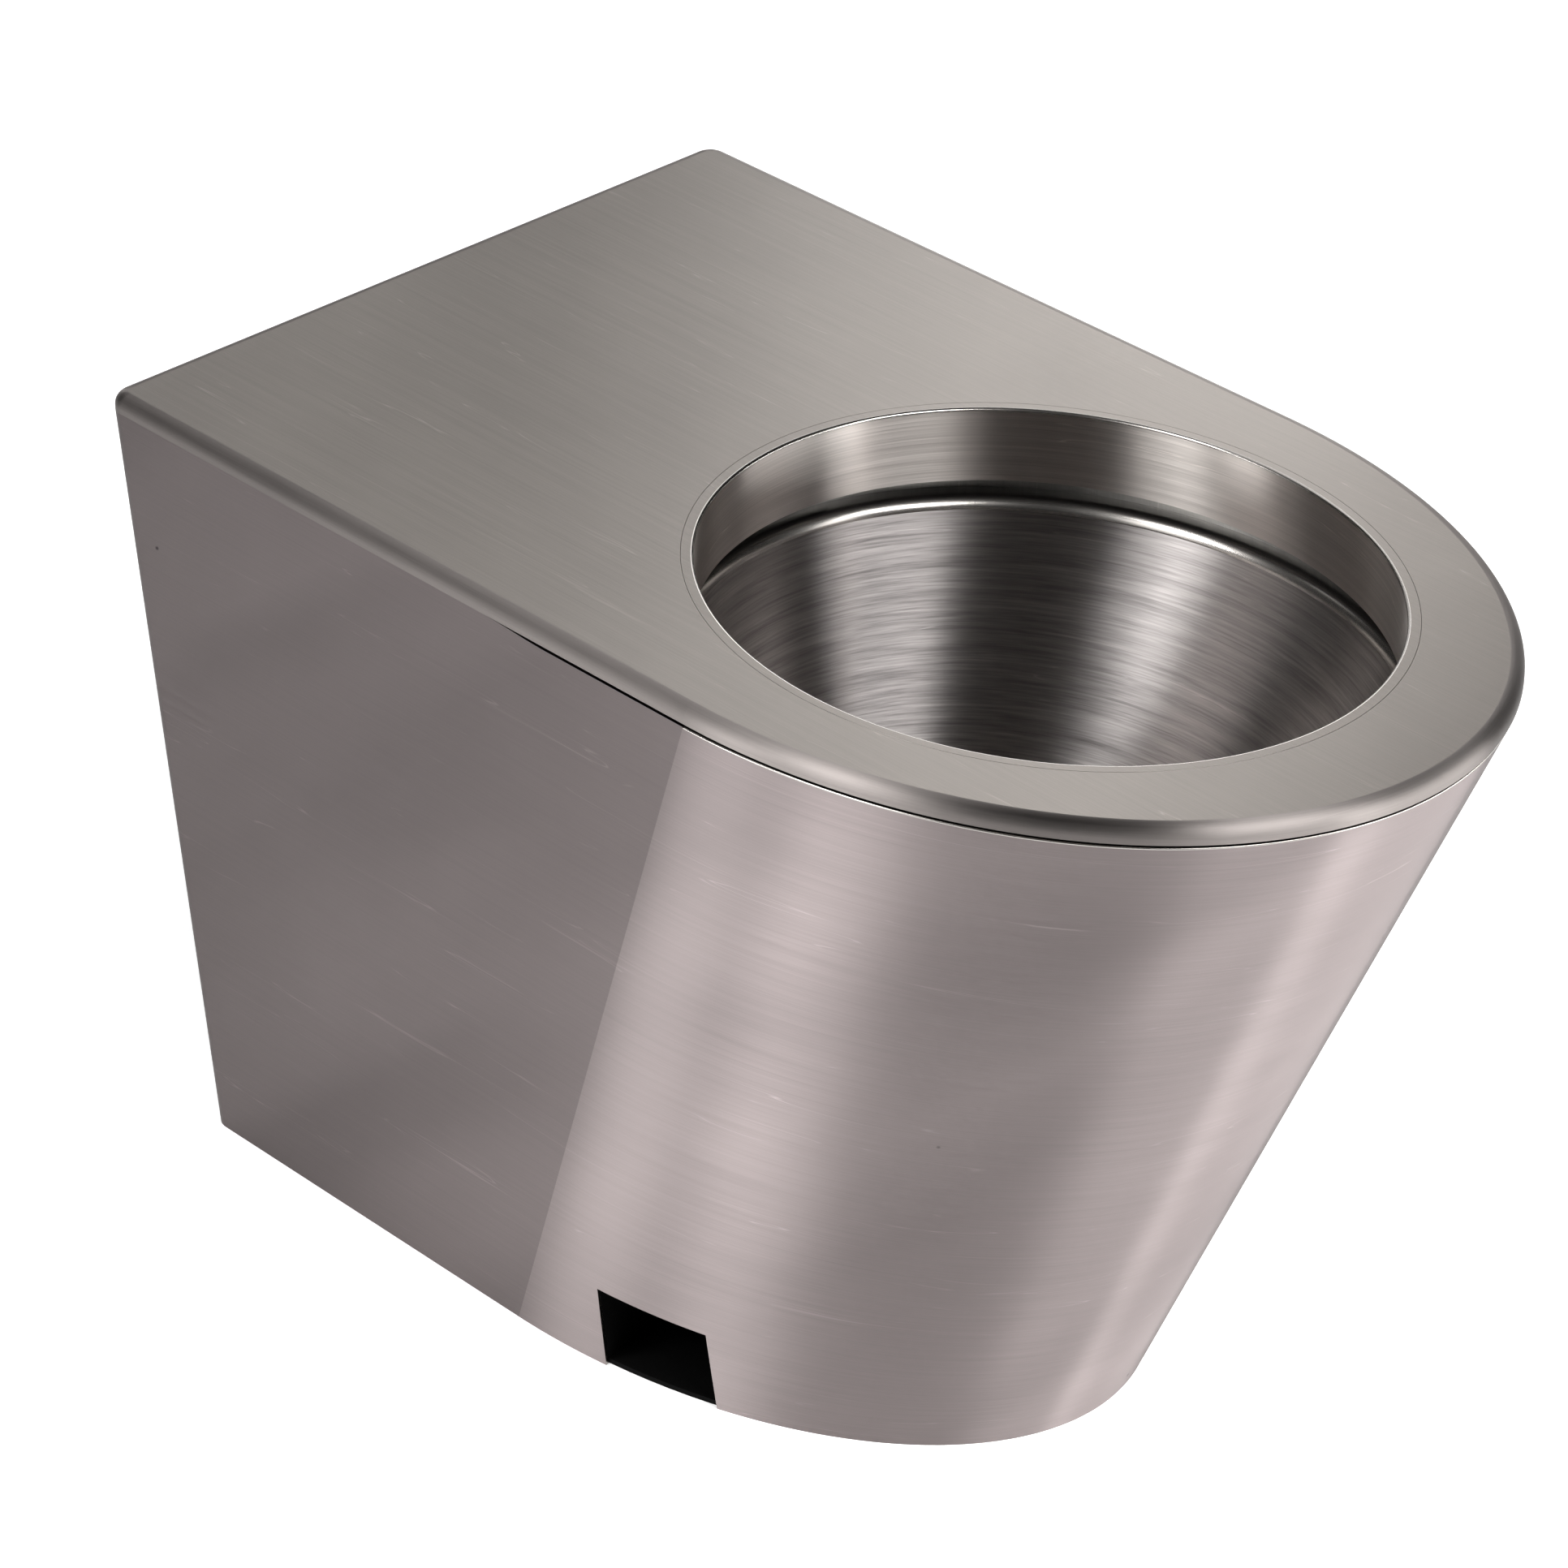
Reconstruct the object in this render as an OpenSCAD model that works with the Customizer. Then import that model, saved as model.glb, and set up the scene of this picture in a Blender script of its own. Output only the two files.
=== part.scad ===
// Stainless steel toilet pan that stands on the floor with its back to the wall.
// The origin is on the floor, in the middle of the pan's outline. The front faces -Y and
// the wall is at +Y. Left and right are as seen from the front, so right is +X.
// Modules draw in wall space, where y is 0 at the wall and falls towards the front.

/* [Body] */
// Width of the deck, side to side
body_w = 360; // [345:1:390]
// Depth of the deck, from the wall to its nose
body_d = 600; // [590:1:650]
// Height of the deck above the floor
body_h = 400; // [385:1:440]
// Length of the deck's rounded front
nose_l = 238; // [220:1:250]
// Width of the skirt at the floor
foot_w = 275; // [255:1:300]
// Depth of the skirt at the floor
foot_d = 436; // [425:1:470]
// Length of the rounded front at the floor
foot_nose_l = 223; // [205:1:240]
// Plan radius of the two rear corners
corner_r = 10; // [8:0.5:14]
// Thickness of the steel sheet
sheet_t = 2; // [1.5:0.1:2.4]
// Width of the flanges turned in at the back
return_w = 25; // [18:1:32]

/* [Deck edge] */
// Outer radius of the deck's rolled edge
edge_r = 6; // [4:0.5:7]
// Depth of the turned-down rim below the deck's top
rim_h = 8; // [7:0.5:12]
// Open joint between the rim and the front apron
joint_gap = 1.6; // [1:0.1:3]
// Distance from the wall to the start of the open joint on each flank
joint_y = 262; // [240:2:300]
// Height of the strip that backs the open joint
strip_h = 16; // [12:1:24]
// Thickness of the strip that backs the open joint
strip_t = 1.5; // [1:0.1:2]

/* [Opening] */
// Width of the deck left on each side of the collar's walls
side_lip = 44; // [42:0.5:52]
// Clear length between the collar's walls
opening_l = 310; // [290:1:340]
// Distance from the wall to the front of the opening
opening_front = 544; // [537:1:549]
// Depth of the collar below the deck's top
collar_h = 35; // [28:1:40]
// Outer radius of the collar's rolled top
collar_r = 2.8; // [2.5:0.1:4]
// Width of the flat flange outside the rolled top
collar_flange = 2.4; // [1.5:0.1:4]

/* [Flushing rim] */
// Clear width of the water channel round the collar
channel_w = 15; // [11:1:17]
// Open gap between the collar and the bowl's ledge
gap_h = 13; // [8:1:16]
// Depth of the flush inlet's axis below the deck's top
flush_drop = 55; // [50:1:60]
// Bore of the flush socket
flush_bore = 55; // [50:0.5:58]
// Wall of the flush socket
flush_t = 1.5; // [1:0.1:2]
// Distance from the wall to the socket's mouth
flush_back = 28; // [24:1:40]
// Bore of the rubber bush in the socket
bush_bore = 45; // [40:0.5:47]
// Length of the bush inside the socket
bush_l = 30; // [20:1:40]
// Thickness of the bush's lip
lip_t = 4; // [2:0.5:6]
// Diameter of the bush's lip
lip_d = 66; // [62:1:72]
// Width of the chamber behind the channel
chamber_w = 100; // [80:1:130]
// Depth of the chamber from its rear face to the channel
chamber_l = 52; // [36:1:80]
// Depth of the chamber's floor below the deck's top
chamber_drop = 88; // [86:1:100]
// Width of the window from the chamber to the channel
window_w = 80; // [50:1:90]
// Steel left above and below the window
window_edge = 3; // [2:0.5:6]
// Reach of each wing of the flow splitter
wing_l = 28; // [15:1:34]

/* [Bowl] */
// How far the bowl's mouth stands outside the collar's wall
mouth_out = 5; // [3:0.5:8]
// Radius of the shoulder round the mouth
shoulder_r = 7; // [4:0.5:9]
// Height of the weld between the bowl and the sump
sump_z = 140; // [125:1:155]
// Clear width of the bowl at that weld
sump_w = 160; // [145:1:175]
// How far the bowl's middle runs back, as a share of its drop
rake_share = 0.2; // [0.12:0.01:0.24]
// Height of the sump's wet floor
sump_floor_z = 22; // [18:1:24]
// Clear width of the sump above its rounded foot
sump_floor_w = 104; // [96:1:116]
// Radius between the sump's wall and its floor
sump_round = 20; // [12:1:26]

/* [Trap] */
// Outer diameter of the trap pipe
trap_d = 72; // [64:1:76]
// Wall of the trap pipe
trap_t = 2; // [1.5:0.1:3]
// Height of the centre line through the trap's dip
trap_z = 60; // [58:1:66]
// Length of the straight stub behind the sump
inlet_l = 31.2; // [20:0.1:45]
// Centre line radius of both bends
bend_r = 56; // [50:1:58]
// Height of the outlet's axis
outlet_z = 180; // [176:1:200]
// Outer diameter of the outlet spigot
outlet_d = 102; // [90:1:110]
// Distance from the wall to the spigot's end
outlet_back = 28; // [20:1:36]
// Length of the cone from the trap pipe to the spigot
reducer_l = 28; // [20:1:36]

/* [Supports] */
// Width of the flat bars round the foot
bar_w = 25; // [18:1:28]
// Thickness of the flat bars and brackets
bar_t = 3; // [2:0.5:4]
// Height of the angle's upright at the floor
upright_h = 28; // [20:1:40]
// Width of the stands under the sump and the outlet
stand_w = 120; // [110:1:140]
// Depth of the stands, front to back
stand_d = 30; // [20:1:36]
// Thickness of the damping pads
pad_t = 4; // [2:0.5:6]
// Height of the flank pads' lower edge above the floor
pad_z = 100; // [60:1:140]
// Height of the flank pads
pad_h = 200; // [100:1:240]
// Height of the ribs under the deck
rib_h = 26; // [16:1:34]
// Thickness of the ribs and of the rail under the deck
rib_t = 2; // [1.5:0.1:3]
// Width of the ribs' welded flange
rib_w = 15; // [10:1:18]
// Distance of each rib from the middle
rib_x = 92; // [76:1:98]

/* [Floor fixing] */
// Width of the access notch along the foot
notch_w = 58; // [46:1:66]
// Height of the access notch
notch_h = 46; // [36:1:56]
// Place of each notch round the foot, in degrees from the side
notch_angle = 21.5; // [18:0.5:26]
// Depth of the pocket behind the notch
pocket_d = 50; // [40:1:60]
// Diameter of the fixing hole in the pocket's floor
fixing_d = 12; // [8:0.5:16]
// Distance of the fixing hole's middle from the pocket's rear face
fixing_back = 13; // [12:1:30]
// Distance of the fixing hole from the notch's middle towards the nose
fixing_shift = 16; // [0:1:16]

/* [Hidden] */
$fn = 128;

// Clearance between pieces that a weld bridges on the real pan
seat = 0.2;
// How far a cutting shape runs past the face it cuts
overrun = 1;
// Steps round the nose, the rear corners and the rolled edge
nose_steps = 64;
run_steps = 16;
corner_steps = 6;
edge_steps = 4;
round_steps = 8;

// Heights that several pieces share
deck_under = body_h - sheet_t;
skirt_h = body_h - rim_h;
collar_z = body_h - collar_h;
mouth_z = collar_z - gap_h;
flush_z = body_h - flush_drop;
chamber_z = body_h - chamber_drop;

// Radii across the width, in the oval space that is stretched lengthways
open_r = body_w/2 - side_lip;
oval_share = opening_l/2/open_r;
collar_out_r = open_r + sheet_t;
hole_r = open_r + collar_r + collar_flange;
channel_in_r = collar_out_r + channel_w;
channel_out_r = channel_in_r + sheet_t;
mouth_r = open_r + mouth_out;
sump_r = sump_w/2;
sump_floor_r = sump_floor_w/2;

// Distances from the wall to the opening's middle and to the chamber's rear face
opening_y = opening_front - opening_l/2;
chamber_y = opening_y - channel_out_r*oval_share - chamber_l;

// Middle of the sump at the trap's height, and its outer radius there
sump_y = opening_y - rake_share*(mouth_z - trap_z);
sump_foot_z = sump_floor_z + sump_round;
sump_rise_share = (trap_z - sump_foot_z)/(sump_z - sump_foot_z);
sump_out_r = sump_floor_r + (sump_r - sump_floor_r)*sump_rise_share + sheet_t;

// Stations along the trap from the sump to the wall, and the riser's length
dip_y = sump_y - sump_out_r*oval_share - inlet_l;
riser_y = dip_y - bend_r;
bend_y = riser_y - bend_r;
reducer_y = bend_y - reducer_l;
riser_h = outlet_z - trap_z - 2*bend_r;

steel = "silver";
inner_steel = "lightslategray";
coating = "dimgray";
rubber = "black";

// Arc of points about a centre
function arc(c, r, from, to, steps) =
    [for (i = [0:steps]) let (a = from + (to - from)*i/steps) c + r*[cos(a), sin(a)]];

// Triangles over rows of points, each row a closed ring of m points, with capped ends or looped
function skin_faces(n, m, looped) = concat(
    [for (i = [0:looped ? n - 1 : n - 2], j = [0:m - 1])
        let (k = (i + 1)%n, l = (j + 1)%m)
        each [[i*m + j, k*m + l, i*m + l], [i*m + j, k*m + j, k*m + l]]],
    looped ? [] : [for (j = [1:m - 2]) [0, j, j + 1]],
    looped ? [] : [for (j = [1:m - 2]) [(n - 1)*m, (n - 1)*m + j + 1, (n - 1)*m + j]]);

// Closed solid through rows of points
module skin(rows, looped = false) {
    polyhedron(points = [for (row = rows) each row],
        faces = skin_faces(len(rows), len(rows[0]), looped), convexity = 8);
}

// Points between two others, without the ends
function run(from, to) = [for (i = [1:run_steps - 1]) from + (to - from)*i/run_steps];

// Outline of the deck moved inwards by an inset: nose, left flank, rear and right flank
function deck_outline(inset) =
    let (x = body_w/2, y = body_d - nose_l, side = x - inset, back = x - corner_r) concat(
        [for (i = [0:nose_steps]) let (a = 180*i/nose_steps)
            [side*cos(a), -y - (nose_l - inset)*sin(a)]],
        run([-side, -y], [-side, -corner_r]),
        arc([-back, -corner_r], corner_r - inset, 180, 90, corner_steps),
        run([-back, -inset], [back, -inset]),
        arc([back, -corner_r], corner_r - inset, 90, 0, corner_steps),
        run([side, -corner_r], [side, -y]));

// Point on the deck's oval hole that goes with point i of n on its outline
function hole_point(i, n) =
    let (a = i <= nose_steps ? 180*i/nose_steps : 180 + 180*(i - nose_steps)/(n - nose_steps))
    [hole_r*cos(a), -opening_y - hole_r*oval_share*sin(a)];

// Skirt sizes at a height: half its width, its straight length and its rounded length
function skirt_half(z) = (foot_w + (body_w - foot_w)*z/skirt_h)/2;
function skirt_nose(z) = foot_nose_l + (nose_l - foot_nose_l)*z/skirt_h;
function skirt_straight(z) = let (low = foot_d - foot_nose_l, high = body_d - nose_l)
    low + (high - low)*z/skirt_h;

// Point on the rounded front of the skirt
function nose_point(z, inset, turn) =
    [(skirt_half(z) - inset)*cos(turn), -skirt_straight(z) - (skirt_nose(z) - inset)*sin(turn), z];

// Points along the right side of the skirt: the flat flank, the rear corner and the return
function side_points(z, inset) = let (x = skirt_half(z)) concat(
    [[x - inset, -skirt_straight(z), z]],
    [for (p = arc([x - corner_r, -corner_r], corner_r - inset, 0, 90, corner_steps)) [p.x, p.y, z]],
    [[x - return_w, -inset, z]]);

// Moves wall space onto the pan's origin
module in_place() {
    translate([0, body_d/2, 0]) children();
}

// Stretches round shapes lengthways into the opening's oval
module oval() {
    translate([0, -opening_y, 0]) scale([1, oval_share, 1]) children();
}

// Leans the oval back as it goes down, so that the bowl drains to the rear
module raked_oval() {
    translate([0, -opening_y, 0])
        multmatrix([[1, 0, 0, 0], [0, 1, -rake_share, rake_share*mouth_z], [0, 0, 1, 0]])
            scale([1, oval_share, 1]) children();
}

// Section turned round the oval in four quarters, upright or raked
module turned(section, raked = false) {
    for (quarter = [0:3]) {
        if (raked) raked_oval() quarter_turn(section, quarter);
        else oval() quarter_turn(section, quarter);
    }
}

module quarter_turn(section, quarter) {
    rotate([0, 0, 90*quarter]) rotate_extrude(angle = 90) polygon(section);
}

// Box centred on x, between two distances from the wall
module wall_box(w, y_near, y_far, z_low, z_high) {
    translate([-w/2, -y_far, z_low]) cube([w, y_far - y_near, z_high - z_low]);
}

// Frame of the right notch: x points out of the skirt and y towards the back
module at_notch() {
    turn = atan(foot_w/2*tan(notch_angle)/foot_nose_l);
    translate(nose_point(0, 0, notch_angle)) rotate([0, 0, -turn]) children();
}

// Pipe that runs towards the wall from a distance and a height
module pipe_back(d, y_far, y_near, z) {
    translate([0, -y_far, z]) rotate([-90, 0, 0]) cylinder(d = d, h = y_far - y_near);
}

// Quarter turn of trap pipe in the plane x = 0, starting at an angle
module trap_bend(y, z, start) {
    translate([0, -y, z]) rotate([90, 0, 90]) rotate([0, 0, start]) rotate_extrude(angle = 90)
        translate([bend_r, 0]) difference() {
            circle(d = trap_d);
            circle(d = trap_d - 2*trap_t);
        }
}

// Deck plate with its rolled edge and turned-down rim, open where the collar is welded in
module deck() {
    c = [edge_r, body_h - edge_r];
    section = concat([[0, skirt_h]], arc(c, edge_r, 180, 90, edge_steps),
        arc(c, edge_r - sheet_t, 90, 180, edge_steps), [[sheet_t, skirt_h]]);
    loops = [for (p = section) deck_outline(p[0])];
    count = len(loops[0]);
    top = edge_steps + 2;
    rows = [for (i = [0:count - 1]) let (hole = hole_point(i, count)) concat(
        [for (j = [0:top - 1]) [loops[j][i].x, loops[j][i].y, section[j][1]]],
        [[hole.x, hole.y, body_h], [hole.x, hole.y, deck_under]],
        [for (j = [top:len(section) - 1]) [loops[j][i].x, loops[j][i].y, section[j][1]]])];
    color(steel) in_place() skin(rows, looped = true);
}

// Upright collar round the opening, its rolled top ground flush with the deck
module opening_collar() {
    c = [open_r + collar_r, body_h - collar_r];
    color(steel) in_place() turned(concat(
        [[open_r, collar_z]],
        arc(c, collar_r, 180, 90, round_steps),
        [[hole_r - seat, body_h], [hole_r - seat, deck_under]],
        arc(c, collar_r - sheet_t, 90, 180, round_steps),
        [[collar_out_r, collar_z]]));
}

// Flat flank that leans in towards the floor, with its rear corner and return flange
module side_panel() {
    paths = [side_points(0, 0), side_points(0, sheet_t),
        side_points(skirt_h, sheet_t), side_points(skirt_h, 0)];
    difference() {
        skin([for (i = [0:len(paths[0]) - 1]) [for (path = paths) path[i]]]);
        wall_box(body_w + overrun, joint_y, body_d, skirt_h - joint_gap, body_h);
    }
}

module side_panel_left() {
    color(steel) in_place() mirror([1, 0, 0]) side_panel();
}

module side_panel_right() {
    color(steel) in_place() side_panel();
}

// Solid inside the rounded front, from z_low to z_high
module nose_core(z_low, z_high, inset) {
    skin([for (z = [z_high, z_low]) [for (i = [0:nose_steps]) nose_point(z, inset, 180*i/nose_steps)]]);
}

// Rolled front of the skirt with the two access notches
module front_apron() {
    top = skirt_h - joint_gap;
    color(steel) in_place() difference() {
        skin([for (i = [0:nose_steps]) let (a = 180*i/nose_steps)
            [nose_point(0, 0, a), nose_point(top, 0, a),
                nose_point(top, sheet_t, a), nose_point(0, sheet_t, a)]]);
        for (side = [0, 1]) mirror([side, 0, 0]) at_notch()
            translate([-pocket_d/2, -notch_w/2, -overrun])
                cube([pocket_d, notch_w, notch_h + overrun]);
    }
}

// Section of the backing strip where the skirt's points at its foot and head are known
function strip_row(low, high) = let (top = skirt_h + sheet_t/2)
    [low[0], [high[0].x, high[0].y, top], [high[1].x, high[1].y, top], low[1]];

// Strip inside the skirt that closes the open joint from behind
module joint_strip() {
    z = skirt_h + sheet_t/2 - strip_h;
    insets = [sheet_t + seat, sheet_t + seat + strip_t];
    nose = [for (i = [0:nose_steps]) let (a = 180*i/nose_steps)
        strip_row([for (t = insets) nose_point(z, t, a)], [for (t = insets) nose_point(skirt_h, t, a)])];
    ends = [for (side = [1, -1])
        strip_row([for (t = insets) [side*(skirt_half(z) - t), -joint_y, z]],
            [for (t = insets) [side*(skirt_half(skirt_h) - t), -joint_y, z]])];
    color(coating) in_place() skin(concat([ends[0]], nose, [ends[1]]));
}

// Angle welded under the deck, along the wall
module rear_top_rail() {
    w = 2*skirt_half(skirt_h) - 2*return_w;
    y = edge_r + sheet_t;
    color(inner_steel) in_place() {
        wall_box(w, y, y + rib_w, deck_under - rib_t, deck_under);
        wall_box(w, y, y + rib_t, deck_under - rib_h/2, deck_under);
    }
}

// Angle along the wall, on the floor between the foot bars
module rear_floor_rail() {
    w = 2*(foot_w/2 - sheet_t - seat - bar_w - seat);
    y = sheet_t + seat;
    color(inner_steel) in_place() {
        wall_box(w, y, y + bar_w, 0, bar_t);
        wall_box(w, y, y + bar_t, 0, upright_h);
    }
}

// Flat bar on the floor inside a flank
module foot_bar() {
    translate([foot_w/2 - sheet_t - seat - bar_w, -skirt_straight(0), 0])
        cube([bar_w, skirt_straight(0) - corner_r - seat, bar_t]);
}

module foot_bar_left() {
    color(inner_steel) in_place() mirror([1, 0, 0]) foot_bar();
}

module foot_bar_right() {
    color(inner_steel) in_place() foot_bar();
}

// Curved flat bar on the floor inside the front apron, between the two notches
module foot_bar_front() {
    near = sheet_t + seat;
    from = 2*notch_angle;
    steps = nose_steps/2;
    outline = [for (i = [0:steps]) nose_point(0, near, from + (180 - 2*from)*i/steps)];
    inline = [for (i = [steps:-1:0]) nose_point(0, near + bar_w, from + (180 - 2*from)*i/steps)];
    color(inner_steel) in_place() linear_extrude(bar_t)
        polygon([for (p = concat(outline, inline)) [p.x, p.y]]);
}

// Closed pocket behind a notch, with a fixing hole in its floor
module fixing_pocket() {
    w = notch_w + 2*bar_t;
    top = notch_h + bar_t;
    intersection() {
        at_notch() difference() {
            translate([-pocket_d, -w/2, 0]) cube([2*pocket_d, w, top]);
            translate([bar_t - pocket_d, -notch_w/2, bar_t])
                cube([2*pocket_d, notch_w, notch_h - bar_t]);
            translate([fixing_back - pocket_d, -fixing_shift, -overrun])
                cylinder(d = fixing_d, h = bar_t + 2*overrun);
        }
        nose_core(-overrun, top + overrun, sheet_t + seat);
    }
}

module fixing_pocket_left() {
    color(coating) in_place() mirror([1, 0, 0]) fixing_pocket();
}

module fixing_pocket_right() {
    color(coating) in_place() fixing_pocket();
}

// Outer wall of the water channel, with the window that lets the flush in
module flush_channel() {
    color(inner_steel) in_place() difference() {
        turned([[channel_in_r, mouth_z], [channel_out_r, mouth_z],
            [channel_out_r, deck_under], [channel_in_r, deck_under]]);
        wall_box(window_w, chamber_y, opening_y, mouth_z + window_edge, deck_under - window_edge);
    }
}

// Chamber that takes the flush from the socket up into the channel
module flush_chamber() {
    near = chamber_y + sheet_t;
    color(inner_steel) in_place() difference() {
        wall_box(chamber_w, chamber_y, opening_y, chamber_z, deck_under);
        oval() translate([0, 0, chamber_z - overrun])
            cylinder(r = channel_out_r + seat, h = body_h - chamber_z + overrun);
        difference() {
            wall_box(chamber_w - 2*sheet_t, near, opening_y, chamber_z + sheet_t, body_h);
            oval() translate([0, 0, chamber_z])
                cylinder(r = channel_out_r + seat + sheet_t, h = mouth_z - chamber_z);
        }
        pipe_back(flush_bore, near + overrun, chamber_y - overrun, flush_z);
    }
}

// Socket that the flush pipe's bush sits in
module flush_socket() {
    color(inner_steel) in_place() difference() {
        pipe_back(flush_bore + 2*flush_t, chamber_y, flush_back, flush_z);
        pipe_back(flush_bore, chamber_y + overrun, flush_back - overrun, flush_z);
    }
}

// Rubber bush with a lip, pushed into the socket
module flush_bush() {
    deep = flush_back + bush_l;
    color(rubber) in_place() difference() {
        union() {
            pipe_back(flush_bore - seat, deep, flush_back, flush_z);
            pipe_back(lip_d, flush_back, flush_back - lip_t, flush_z);
        }
        pipe_back(bush_bore, deep + overrun, flush_back - lip_t - overrun, flush_z);
    }
}

// Upright vee that parts the flush to the left and the right
module flow_splitter() {
    y = chamber_y + sheet_t + wing_l/2;
    half = wing_l*sin(45);
    back = rib_t/sin(45);
    color(inner_steel) in_place() translate([0, -y, chamber_z + sheet_t])
        linear_extrude(deck_under - chamber_z - sheet_t)
            polygon([[0, 0], [half, -half], [half, -half - back], [0, -back],
                [-half, -half - back], [-half, -half]]);
}

// Raked oval bowl: a ledge that the channel stands on, a shoulder and a cone
module bowl() {
    lean = atan((mouth_r - sump_r)/(mouth_z - shoulder_r - sump_z));
    c = [mouth_r + shoulder_r*cos(lean), mouth_z - shoulder_r];
    color(steel) in_place() turned(concat(
        [[channel_out_r, mouth_z]],
        arc(c, shoulder_r, 90, 180 - lean, round_steps),
        [[sump_r, sump_z], [sump_r + sheet_t/cos(lean), sump_z]],
        arc(c, shoulder_r - sheet_t, 180 - lean, 90, round_steps),
        [[channel_out_r, mouth_z - sheet_t]]), raked = true);
}

// Half profile of the sump from its middle to its weld, grown by an amount
function sump_profile(grow) = let (r = sump_floor_r - sump_round) concat(
    [[0, sump_floor_z - grow]],
    arc([r, sump_floor_z + sump_round], sump_round + grow, -90, 0, round_steps),
    [[sump_r + grow, sump_z]]);

// Pot below the bowl that holds the standing water
module sump() {
    outside = sump_profile(sheet_t);
    inside = sump_profile(0);
    count = len(inside);
    color(steel) in_place() difference() {
        turned(concat(outside, [for (i = [1:count]) inside[count - i]]), raked = true);
        pipe_back(trap_d - 2*trap_t, sump_y, dip_y, trap_z);
    }
}

// Straight stub from the sump's rear wall to the first bend
module trap_inlet() {
    color(inner_steel) in_place() difference() {
        pipe_back(trap_d, sump_y, dip_y, trap_z);
        pipe_back(trap_d - 2*trap_t, sump_y + overrun, dip_y - overrun, trap_z);
        raked_oval() rotate_extrude()
            polygon(concat(sump_profile(sheet_t + seat), [[0, sump_z]]));
    }
}

module trap_lower_bend() {
    color(inner_steel) in_place() trap_bend(dip_y, trap_z + bend_r, -90);
}

module trap_riser() {
    color(inner_steel) in_place() translate([0, -riser_y, trap_z + bend_r]) difference() {
        cylinder(d = trap_d, h = riser_h);
        translate([0, 0, -overrun]) cylinder(d = trap_d - 2*trap_t, h = riser_h + 2*overrun);
    }
}

module trap_upper_bend() {
    color(inner_steel) in_place() trap_bend(bend_y, outlet_z - bend_r, 90);
}

// Cone from the trap pipe up to the outlet's size
module outlet_reducer() {
    color(inner_steel) in_place() translate([0, -bend_y, outlet_z]) rotate([-90, 0, 0])
        rotate_extrude() polygon([[trap_d/2 - trap_t, 0], [trap_d/2, 0],
            [outlet_d/2, reducer_l], [outlet_d/2 - trap_t, reducer_l]]);
}

// Plain pipe end that the waste connector slides over
module outlet_spigot() {
    color(inner_steel) in_place() difference() {
        pipe_back(outlet_d, reducer_y, outlet_back, outlet_z);
        pipe_back(outlet_d - 2*trap_t, reducer_y + overrun, outlet_back - overrun, outlet_z);
    }
}

// Saddle that carries the outlet from the floor, welded on where the spigot meets the reducer
module outlet_stand() {
    near = reducer_y;
    color(inner_steel) in_place() difference() {
        union() {
            wall_box(stand_w, near, near + bar_t, 0, outlet_z);
            wall_box(stand_w, near, near + stand_d, 0, bar_t);
        }
        pipe_back(outlet_d + 2*seat, near + stand_d, near - overrun, outlet_z);
    }
}

// Bent bar that carries the sump from the floor
module sump_stand() {
    top = sump_floor_z - sheet_t;
    y = sump_y - stand_d/2;
    leg = stand_w/2;
    color(inner_steel) in_place() {
        wall_box(leg, y, y + stand_d, top - bar_t, top);
        for (side = [0, 1]) mirror([side, 0, 0]) {
            translate([leg/2 - bar_t, -y - stand_d, 0]) cube([bar_t, stand_d, top]);
            translate([leg/2 - bar_t, -y - stand_d, 0]) cube([leg/2 + bar_t, stand_d, bar_t]);
        }
    }
}

// Angle rib under the flat part of the deck
module deck_rib() {
    near = edge_r + sheet_t + rib_w + seat;
    far = opening_y - (channel_out_r + seat)*oval_share*sqrt(1 - pow((rib_x - rib_w)/channel_out_r, 2));
    length = far - near - rib_w;
    translate([rib_x, -near - length, deck_under - rib_h]) cube([rib_t, length, rib_h]);
    translate([rib_x, -near - length, deck_under - rib_t]) cube([rib_w, length, rib_t]);
}

module deck_rib_left() {
    color(inner_steel) in_place() mirror([1, 0, 0]) deck_rib();
}

module deck_rib_right() {
    color(inner_steel) in_place() deck_rib();
}

// Pads that deaden the deck: one between the ribs and one outside each rib
module deck_pads() {
    near = edge_r + sheet_t + 2*rib_w;
    side_x = rib_x + 2*rib_w;
    color(coating) in_place() {
        wall_box(2*rib_x - 2*rib_w, near, chamber_y - rib_w, deck_under - pad_t, deck_under);
        for (side = [0, 1]) mirror([side, 0, 0])
            translate([side_x, -chamber_y - rib_w, deck_under - pad_t])
                cube([body_w/2 - side_x - rib_w, chamber_y + rib_w - near, pad_t]);
    }
}

// Pad that deadens a flank, stuck to its inner face
module side_pad() {
    low = pad_z;
    high = pad_z + pad_h;
    near = return_w + rib_w;
    skin([for (y = [skirt_straight(0) - rib_w, near])
        [for (p = [[low, sheet_t], [low, sheet_t + pad_t], [high, sheet_t + pad_t], [high, sheet_t]])
            [skirt_half(p[0]) - p[1], -y, p[0]]]]);
}

module side_pad_left() {
    color(coating) in_place() mirror([1, 0, 0]) side_pad();
}

module side_pad_right() {
    color(coating) in_place() side_pad();
}

deck();
opening_collar();
side_panel_left();
side_panel_right();
front_apron();
joint_strip();
rear_top_rail();
rear_floor_rail();
foot_bar_left();
foot_bar_right();
foot_bar_front();
fixing_pocket_left();
fixing_pocket_right();
flush_channel();
flush_chamber();
flush_socket();
flush_bush();
flow_splitter();
bowl();
sump();
trap_inlet();
trap_lower_bend();
trap_riser();
trap_upper_bend();
outlet_reducer();
outlet_spigot();
outlet_stand();
sump_stand();
deck_rib_left();
deck_rib_right();
deck_pads();
side_pad_left();
side_pad_right();
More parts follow.
